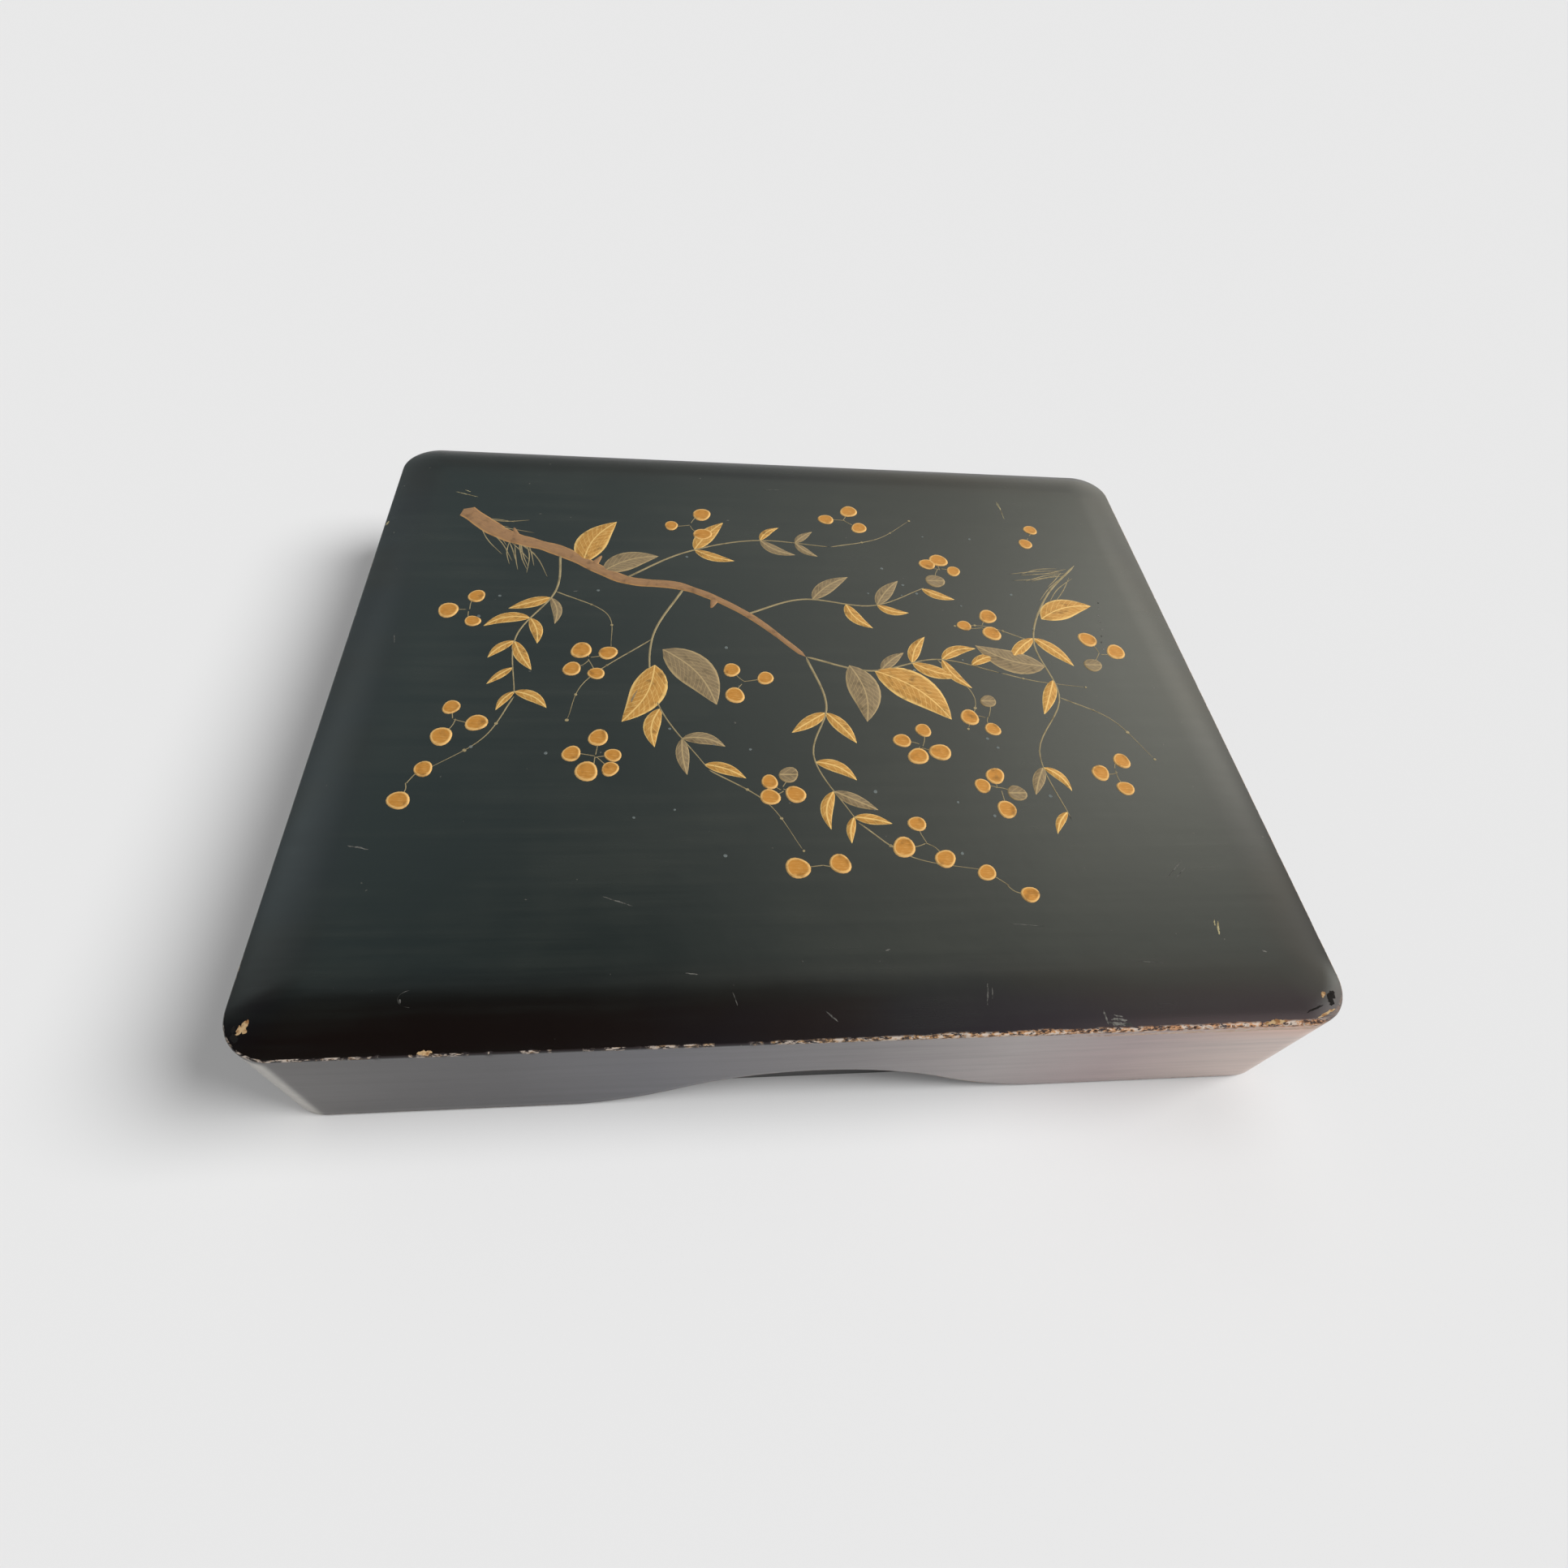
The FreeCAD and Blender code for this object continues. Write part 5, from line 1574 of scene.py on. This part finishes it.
@dataclass(frozen=True)
class Hair(Finish):
    """Animal hair: fine strands along +X, darker towards a tip that ink has stained."""

    name: str
    tip_at: float
    stained: float = 9.0
    dark: Colour = (0.30, 0.20, 0.11)
    pale: Colour = (0.66, 0.56, 0.42)
    shade: Colour = (0.16, 0.10, 0.06)
    ink: Colour = (0.012, 0.011, 0.012)

    def surface(self, graph: Graph) -> Surface:
        """The hair's shader."""
        here = graph.place()
        x, _, _ = graph.axes(here)
        strand = graph.grain(here, (0.06, 5.0, 5.0), 3.0, 0.7)
        lock = graph.grain(here, (0.04, 1.3, 1.3), 2.0)
        colour = graph.blend(strand, self.dark, self.pale)
        colour = graph.blend(graph.step(lock, 0.5, 0.8) * 0.5, colour, self.shade)
        stain = graph.step(x + lock * 6.0, self.tip_at - self.stained, self.tip_at - 1.0)
        return Surface(
            colour=graph.blend(stain, colour, self.ink), roughness=0.6,
            normal=graph.bump(strand, 0.8, 0.0003),
        )


@dataclass(frozen=True)
class InkCake(Finish):
    """Pressed soot: near black, matt at the ends, a little polished on its faces."""

    name: str = "pressed_ink"
    dark: Colour = (0.006, 0.006, 0.007)
    pale: Colour = (0.022, 0.021, 0.022)

    def surface(self, graph: Graph) -> Surface:
        """The ink's shader."""
        here = graph.place()
        cloud = graph.noise(here, 0.3, 4.0)
        return Surface(
            colour=graph.blend(cloud, self.dark, self.pale),
            roughness=0.30 + 0.3 * cloud,
            normal=graph.bump(graph.noise(here, 1.0, 3.0), 0.4, 0.00008),
        )


@dataclass(frozen=True)
class FloorPaper(Finish):
    """The pale studio floor.

    Its painted shadow lies in front of the box, whose foot is at -front along y. It starts and ends
    over a range of x each, and fades over two ranges of distance from that foot.
    """

    name: str = "studio_floor"
    tone: float = 0.80
    front: float = 103.0
    shade_from: Range = (25.0, 105.0)
    shade_to: Range = (98.0, 128.0)
    shade_frontward: Range = (-6.0, -1.0)
    close: float = 24.0
    far: Range = (5.0, 60.0)

    def surface(self, graph: Graph) -> Surface:
        """A matt surface, with a painted shadow in front of the right half of the box's front,
        where that wall throws light back.
        """
        x, y, _ = graph.axes(graph.place())
        gap = -y - self.front
        along = graph.step(x, *self.shade_from) * graph.fall(x, *self.shade_to)
        near = graph.fall(gap, 0.0, self.close) * 0.15 + graph.fall(gap, *self.far) * 0.05
        # Painted shadow on the floor in front of the right half of the box's front.
        shade = along * near * graph.step(gap, *self.shade_frontward)
        colour = graph.blend(shade, (self.tone,) * 3, (0.0, 0.0, 0.0))
        return Surface(colour=colour, roughness=0.9, specular=0.0)


@dataclass
class Interior:
    """Dresses the solids that are kept, each by the first rule that its name starts with."""

    nodes: dict[str, Any]

    def rules(self) -> list[tuple[str, Finish]]:
        """Name beginnings and their finishes, the longer ones first."""
        wood = Grained("bare_softwood", (0.52, 0.38, 0.23), (0.36, 0.23, 0.12))
        pegs = Grained("peg_wood", (0.46, 0.33, 0.19), (0.30, 0.19, 0.10), (0.9, 0.9, 0.05))
        black = Lacquer("inner_black_lacquer")
        board = Lacquer("board_black_lacquer", dust=0.02)
        rim = Lacquer("body_black_lacquer", line_height=35.9)
        tray_rim = Lacquer("tray_black_lacquer", line_height=30.7)
        red = Lacquer("red_brown_lacquer", (0.075, 0.016, 0.010), 0.2)
        copper = Metal("patinated_copper", (0.62, 0.33, 0.19), (0.16, 0.075, 0.04))
        gilt = Metal("gilt_fitting", (0.80, 0.58, 0.24), (0.36, 0.22, 0.08), 0.25)
        steel = Metal(
            "ground_steel", (0.55, 0.56, 0.58), (0.20, 0.18, 0.17), 0.2, (0.25, 4.0, 4.0), 0.24
        )
        corners = ("front_left", "front_right", "back_left", "back_right")
        return [
            ("lid_corner_pegs", pegs), ("base_corner_pegs", pegs),
            *((f"lid_{corner}", wood) for corner in corners),
            *((f"base_{corner}", black) for corner in corners),
            ("base_bottom", black), ("base_", rim),
            ("ink_board_batten", black), ("ink_board", board),
            ("inkstone", Stone()), ("dropper_", copper), ("ink_stick", InkCake()),
            ("tray_cleat", black), ("tray_floor", board), ("tray_", tray_rim),
            ("brush_rest", tray_rim),
            ("thick_brush_handle", PALE_BAMBOO), ("thick_brush_cap", PALE_BAMBOO),
            ("thick_brush_tuft", Hair("thick_hair", 61.5)),
            ("fine_brush_handle", SPECKLED_BAMBOO), ("fine_brush_cap", SPECKLED_BAMBOO),
            ("fine_brush_tuft", Hair("fine_hair", 53.5, 7.0)),
            ("knife_handle", red), ("knife_collar", gilt), ("knife_blade", steel),
            ("knife_sheath", red), ("awl_handle", red), ("awl_ferrule", gilt),
            ("awl_point", steel),
        ]

    def dress(self) -> None:
        """Gives every node its finish."""
        rules = self.rules()
        for name, node in self.nodes.items():
            finish = next((rule for start, rule in rules if name.startswith(start)), None)
            if finish:
                finish.dress(node)
        LOG.info("interior: %d solids dressed", len(self.nodes))

@dataclass
class InkStone:
    """The slate: rim, land worn hollow by grinding, slope and well."""

    rim: float = 5.0
    land_depth: float = 1.8
    well_depth: float = 8.5
    well_length: float = 16.0
    ramp_length: float = 26.0
    ramp_ease: float = 3.0
    corner: float = 3.0
    edge: float = 0.9
    hollow: float = 0.5
    hollow_at: float = 24.0
    hollow_half: tuple[float, float] = (34.0, 26.0)

    def build(self) -> None:
        """Makes the stone; its floor follows the solid's well, slope and land."""
        skin = Skin.over("inkstone", 70, 44, 70, 8)
        top, bottom = skin.high[2], skin.low[2]
        foot = skin.low[0] + self.rim + self.well_length

        def floor(plan: Array) -> Array:
            """Well, slope and land by a smooth step along X, less a hollow where ink is ground."""
            rise = smooth(
                plan[:, 0], foot - self.ramp_ease, foot + self.ramp_length + self.ramp_ease
            )
            depth = self.well_depth + (self.land_depth - self.well_depth) * rise
            x, y = ((plan - skin.centre - (self.hollow_at, 0.0)) / self.hollow_half).T
            return top - depth - self.hollow * np.clip(1 - x * x - y * y, 0.0, 1.0)

        for share in np.linspace(0.0, 1.0, 34):
            skin.row(self.rim + 1.6, 4.5, floor, share)
        for inset, up in ((1.1, 0.25), (0.7, 0.7), (0.45, 1.2)):
            skin.row(
                self.rim + inset, 4.0, lambda plan: np.minimum(floor(plan) + up, top - 0.35)
            )
        skin.row(self.rim + 0.1, 3.6, top - 0.25)
        skin.row(self.rim - 0.25, 3.4, top)
        skin.row(self.rim / 2, 2.6, top)
        skin.rounded(0.0, 90.0, self.edge, self.corner, top, True)
        for share in (0.3, 0.6):
            skin.row(0.0, self.corner, top + (bottom - top) * share)
        skin.foot(self.edge, self.corner)
        piece = skin.shape().piece("inkstone_slab", Stone(), "inkstone", Slot.SLATE, 50.0)
        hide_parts("inkstone")


@dataclass
class InkStick:
    """The ink stick: a pressed cake with a sunk panel, one end ground at a slant."""

    edge: float = 1.0
    border: float = 2.0
    panel: float = 0.45
    slant: float = 1.6
    slant_length: float = 7.0

    def build(self) -> None:
        """Makes the stick; the right end's top falls away where it has been ground down."""
        skin = Skin.over("ink_stick", 50, 20, 50, 7)
        top, bottom, right = skin.high[2], skin.low[2], skin.high[0]
        for share in (0.0, 0.25, 0.5, 0.75, 1.0):
            skin.row(self.border + 0.9, 1.4, top - self.panel, share)
        skin.row(self.border + 0.5, 1.6, top - self.panel + 0.1)
        skin.row(self.border + 0.25, 1.8, top - 0.12)
        skin.row(self.border, 2.0, top)
        skin.row(self.edge + 0.3, 1.2, top)
        skin.rounded(0.0, 90.0, self.edge, self.edge, top, True)
        skin.foot(self.edge, self.edge)
        shape = skin.shape()
        points = shape.points[0]
        near = smooth(points[:, 0], right - self.slant_length, right)
        above = np.clip((points[:, 2] - bottom) / (top - bottom), 0.0, 1.0)
        points[:, 2] -= self.slant * near * above
        piece = shape.piece("ink_stick_cake", InkCake(), "ink_stick", Slot.INK, 50.0)
        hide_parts("ink_stick")


@dataclass
class DropperShell:
    """The water dropper's shell: soft-cornered, gently domed, with an air hole."""

    corner: float = 7.0
    edge: float = 2.4
    foot_edge: float = 0.4
    dome: float = 0.5
    hole: float = 1.3
    hole_depth: float = 2.6

    def build(self) -> None:
        """Makes the shell; near the hole the rings pass from rectangles to circles."""
        skin = Skin.over("dropper_shell", 40, 34, 40, 12)
        top, bottom = skin.high[2], skin.low[2]
        inner = self.corner - self.edge

        def dome(plan: Array) -> Array:
            """The dome's height: (1 - u²)(1 - v²) over its edge."""
            u, v = ((plan - skin.centre) / skin.half).T
            return top - self.dome + self.dome * (1 - u * u) * (1 - v * v)

        for radius, down in ((0.0, 1.0), (0.7, 1.0), (1.0, 0.9), (1.02, 0.2)):
            skin.row(
                self.edge, inner, lambda plan: dome(plan) - self.hole_depth * down,
                self.hole * radius / skin.circle, 1.0,
            )
        for radius in (1.25, 1.6):
            skin.row(self.edge, inner, dome, self.hole * radius / skin.circle, 1.0)
        for share in np.linspace(0.16, 1.0, 14):
            skin.row(self.edge, inner, dome, share, float(smooth(share, 0.5, 0.1)))
        top_edge = top - self.dome
        skin.rounded(8.0, 90.0, self.edge, self.corner, top_edge, True)
        for share in (0.35, 0.7):
            skin.row(0.0, self.corner, top_edge + (bottom - top_edge) * share)
        skin.foot(self.foot_edge, self.corner)
        copper = Metal("patinated_copper", (0.56, 0.28, 0.15), (0.17, 0.08, 0.045))
        piece = skin.shape().piece("dropper_body", copper, "dropper", Slot.COPPER, 50.0)
        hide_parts("dropper_shell")


def revolved(axis: Array, x: Array, size: Array, angle: Array) -> Array:
    """Points at a radius and an angle round a line along X."""
    across, down = size * np.cos(angle), size * np.sin(angle)
    return np.stack(np.broadcast_arrays(x, axis[0] + across, axis[1] - down), axis=-1)


@dataclass
class Tuft:
    """A brush's hair: a belly that draws in to a point, grooved into strands.

    A groove is a wave round the tuft: how many there are of it and how deep they are, as a
    share of the radius.
    """

    node: str
    body: str
    seed: int
    columns: int = 120
    rows: int = 46
    strays: int = 46
    slim: float = 0.97
    grooves: tuple = ((7, 0.020), (13, 0.020), (23, 0.022), (37, 0.018), (53, 0.012))
    stray_half: float = 0.07

    def outline(self, t: Array) -> Array:
        """The radius as a share: (0.88 + 0.12 sin(1.1 pi t)) (1 - t^2.4)^0.7."""
        belly = 0.88 + 0.12 * np.sin(math.pi * np.minimum(t * 1.1, 1.0))
        return belly * np.maximum(1 - t**2.4, 0.0) ** 0.7

    def build(self) -> None:
        """Makes the bundle and its stray hairs inside the solid's box."""
        draw = np.random.default_rng(self.seed)
        low, high = node_box(self.node)
        axis = (low + high)[1:] / 2
        room = (high - low)[1] / 2
        radius = room * self.slim
        t = np.linspace(0.0, 1.0, self.rows) ** 0.85
        angle = np.linspace(0.0, 2 * math.pi, self.columns + 1)
        groove = np.zeros((self.rows, self.columns + 1))
        for count, depth in self.grooves:
            turn = draw.uniform(0.0, 2 * math.pi) + draw.uniform(-0.8, 0.8) * t[:, None]
            groove += depth * np.sin(count * angle + turn)
        size = radius * self.outline(t)[:, None] * (1 + groove * (0.4 + 0.9 * t[:, None]))
        size = np.minimum(size, room)
        size[0] *= 0.0
        x = low[0] + (high - low)[0] * t
        x[0] = x[1] = low[0]
        shape = Shape()
        shape.grid(revolved(axis, x[:, None], size, angle))
        for _ in range(self.strays):
            self.stray(draw, shape, axis, radius, low[0], high[0])
        finish = Hair(f"{self.body}_hair", float(high[0]), 0.3 * float((high - low)[0]))
        piece = shape.piece(f"{self.node}_hair", finish, self.body, Slot.HAIR, 80.0)
        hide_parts(self.node)

    def stray(
        self, draw: np.random.Generator, shape: Shape, axis: Array, radius: float,
        start: float, end: float,
    ) -> None:
        """One hair lying on the bundle: a thin tube that lifts a little towards its tip.

        Args:
            draw: the random numbers.
            shape: the shape it is added to.
            axis: the bundle's axis.
            radius: the bundle's radius.
            start: where the bundle starts along X.
            end: where it ends.
        """
        t = np.linspace(draw.uniform(0.2, 0.5), draw.uniform(0.88, 0.985), 9)
        where = draw.uniform(0.0, 2 * math.pi) + draw.uniform(-0.25, 0.25) * t
        out = radius * self.outline(t) * 0.99 + draw.uniform(0.0, 0.22) * smooth(t, 0.5, 1.0)
        spot = revolved(axis, start + (end - start) * t, out, where)
        turn = np.linspace(0.0, 2 * math.pi, 6)
        thick = self.stray_half * np.sin(math.pi * np.linspace(0.0, 1.0, 9)) ** 0.5
        thick[[0, -1]] = 0.0
        ring = np.stack([np.zeros(6), np.cos(turn), -np.sin(turn)], axis=-1)
        shape.grid(spot[:, None] + thick[:, None, None] * ring)


@dataclass
class BambooStick:
    """A brush's handle: a slim culm that swells at its joints, rounded at its free end."""

    node: str
    body: str
    finish: Grained
    edge: float = 0.8
    swell: float = 0.045
    swell_half: float = 1.3
    groove: float = 0.035
    groove_at: float = 0.55
    groove_half: float = 0.22
    spacing: float = 0.55
    slot: Slot = Slot.BAMBOO

    def build(self) -> None:
        """Makes the culm; its radius is widest at each joint, with a groove beside it."""
        low, high = node_box(self.node)
        axis = (low + high)[1:] / 2
        radius = (high - low)[1] / 2
        quarter = np.linspace(0.0, math.pi / 2, 7)
        x = np.concatenate([
            low[0] + self.edge * (1 - np.cos(quarter)),
            np.arange(low[0] + 1.2, high[0] - 0.6, self.spacing), [high[0] - 0.3, high[0]],
        ])
        gap = self.finish.joint_every
        beside = np.abs((x + JOINT_SHIFT + gap / 2) % gap - gap / 2)
        size = 1 - self.swell + self.swell * np.exp(-((beside / self.swell_half) ** 2))
        size -= self.groove * np.exp(-(((beside - self.groove_at) / self.groove_half) ** 2))
        size = size * radius
        size[:7] = (1 - self.swell) * radius - self.edge * (1 - np.sin(quarter))
        size[-1] -= 0.25
        x = np.r_[low[0], x, high[0]]
        size = np.r_[0.0, size, 0.0]
        angle = np.linspace(0.0, 2 * math.pi, 33)
        shape = Shape()
        shape.grid(revolved(axis, x[:, None], size[:, None], angle))
        piece = shape.piece(f"{self.node}_culm", self.finish, self.body, self.slot, 50.0)
        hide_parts(self.node)


@dataclass
class Studio:
    """Floor, soft light and camera.

    The floor's half width, the eye and the near clip are metres. A lamp comes from an azimuth
    and a height in degrees. In the room that reflections show, a direction is a unit vector,
    and dim_at is the middle of a darker place in it.
    """

    floor_half: float = 14.0
    focal: float = 19.53
    sensor: float = 36.0
    near_clip: float = 0.005
    eye: Triple = (-0.03039, -0.16341, 0.20981)
    right: Triple = (0.99303, -0.07014, 0.09475)
    up: Triple = (0.00034, 0.80542, 0.59271)
    back: Triple = (-0.11789, -0.58854, 0.79983)
    backdrop: float = 0.806
    ambient: float = 0.11
    key: float = 2.85
    key_from: tuple[float, float] = (-1.5, 45.0)
    key_spread: float = 31.0
    fill: float = 0.86
    fill_from: tuple[float, float] = (-95.0, 74.0)
    fill_spread: float = 34.0
    dim_at: Triple = (-0.09, 0.37, 0.92)
    left_tint: Colour = (0.86, 1.04, 1.04)
    right_tint: Colour = (1.0, 0.985, 0.86)
    front_tint: Colour = (0.88, 0.75, 0.78)

    def build(self) -> None:
        """Makes the floor, the sky, the lamps and the camera."""
        self.floor()
        self.sky()
        self.sun("key_light", self.key, *self.key_from, self.key_spread)
        self.sun("fill_light", self.fill, *self.fill_from, self.fill_spread)
        self.camera()

    def floor(self) -> None:
        """A square of floor at the height of the box's foot."""
        far = self.floor_half
        mesh = bpy.data.meshes.new("floor")
        corners = [(-far, -far, 0), (far, -far, 0), (far, far, 0), (-far, far, 0)]
        mesh.from_pydata(corners, [], [(0, 1, 2, 3)])
        made = bpy.data.objects.new("floor", mesh)
        bpy.context.scene.collection.objects.link(made)
        FloorPaper().dress(made)

    def sun(self, name: str, strength: float, azimuth: float, height: float, spread: float) -> None:
        """Adds a distant soft lamp that reflections don't show.

        Args:
            name: the lamp's name.
            strength: its irradiance; pi makes a white surface white.
            azimuth: where it stands, in degrees from +X towards +Y.
            height: how high it stands, in degrees.
            spread: its apparent width in degrees.
        """
        lamp = bpy.data.lights.new(name, "SUN")
        lamp.energy = strength
        lamp.angle = math.radians(spread)
        made = bpy.data.objects.new(name, lamp)
        turn, lift = math.radians(azimuth), math.radians(height)
        source = Vector(
            (math.cos(turn) * math.cos(lift), math.sin(turn) * math.cos(lift), math.sin(lift))
        )
        made.rotation_euler = source.to_track_quat("Z", "Y").to_euler()
        made.visible_glossy = False
        bpy.context.scene.collection.objects.link(made)

    def sky(self) -> None:
        """The world: the backdrop to the camera, even for matt surfaces, a room in reflections."""
        world = bpy.data.worlds.new("studio_room")
        world.use_nodes = True
        graph = Graph(world.node_tree)
        room = self.room(graph)
        light = graph.node("ShaderNodeLightPath", output="Is Glossy Ray")
        mixed = graph.blend(light, (self.ambient,) * 3, room)
        seen = graph.node("ShaderNodeLightPath", output="Is Camera Ray")
        mixed = graph.blend(seen, mixed, (self.backdrop,) * 3)
        shader = graph.node("ShaderNodeBackground", inputs={"Color": mixed, "Strength": 1.0})
        graph.node("ShaderNodeOutputWorld", inputs={"Surface": shader})
        bpy.context.scene.world = world

    def room(self, graph: Graph) -> Sock:
        """What reflections show: a room that is brighter to the right and behind.

        Args:
            graph: the world's graph.

        Returns:
            The colour in each direction.
        """
        heading = graph.node("ShaderNodeTexCoord", output="Generated")
        dx, dy, dz = graph.axes(heading)
        rightward, leftward = (dx - 0.4).most(0.0), (-dx - 0.33).most(0.0)
        side = (dx * 2.1 + 0.95 + (dx - 0.3).most(0.0) * 4.5).most(0.68).least(2.9)
        side = side + leftward * 1.2
        lift = dz + rightward * 0.6 + leftward * 0.3
        low = graph.step(lift, 0.455, 0.605) * 0.6 + 0.4
        dim = (dx * 0.85 + 0.1).most(0.03).least(0.42)
        behind = dim + (1.0 - dim) * graph.step(dy - dx.most(0.0) * 0.12, 0.25, 0.45)
        away = graph.node(
            "ShaderNodeVectorMath", {"operation": "DISTANCE"}, {0: heading, 1: self.dim_at},
            output="Value",
        )
        level = side * low * behind * (0.45 + 0.55 * graph.step(away, 0.03, 0.22))
        level = level + graph.step(-dy, 0.5, 0.85) * 0.7
        tint = graph.blend(graph.step(dx, -0.35, 0.35), self.left_tint, self.right_tint)
        tint = graph.blend(graph.step(-dy, -0.14, 0.06), tint, self.front_tint)
        return graph.node(
            "ShaderNodeVectorMath", {"operation": "SCALE"}, {0: tint, "Scale": level}
        )

    def camera(self) -> None:
        """Stands where the photograph was taken."""
        lens = bpy.data.cameras.new("camera")
        lens.sensor_width = self.sensor
        lens.lens = self.focal
        lens.clip_start = self.near_clip
        made = bpy.data.objects.new("camera", lens)
        turn = Matrix((self.right, self.up, self.back)).transposed().to_4x4()
        made.matrix_world = Matrix.Translation(Vector(self.eye)) @ turn
        bpy.context.scene.collection.objects.link(made)
        bpy.context.scene.camera = made


def main() -> None:
    """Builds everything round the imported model, in order."""
    logging.basicConfig(level=logging.INFO, format="%(message)s")
    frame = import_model()
    bpy.context.scene.view_settings.view_transform = "Standard"
    Studio().build()
    lid = LidShell()
    lid.build()
    Decoration(lid).build()
    Marks(lid).build()
    InkStone().build()
    InkStick().build()
    DropperShell().build()
    Tuft("thick_brush_tuft", "thick_brush", 11).build()
    Tuft("fine_brush_tuft", "fine_brush", 12, columns=100, rows=40).build()
    BambooStick("thick_brush_handle", "thick_brush", PALE_BAMBOO).build()
    BambooStick("fine_brush_handle", "fine_brush", SPECKLED_BAMBOO).build()
    Interior(frame["nodes"]).dress()


if __name__ == "__main__":
    main()
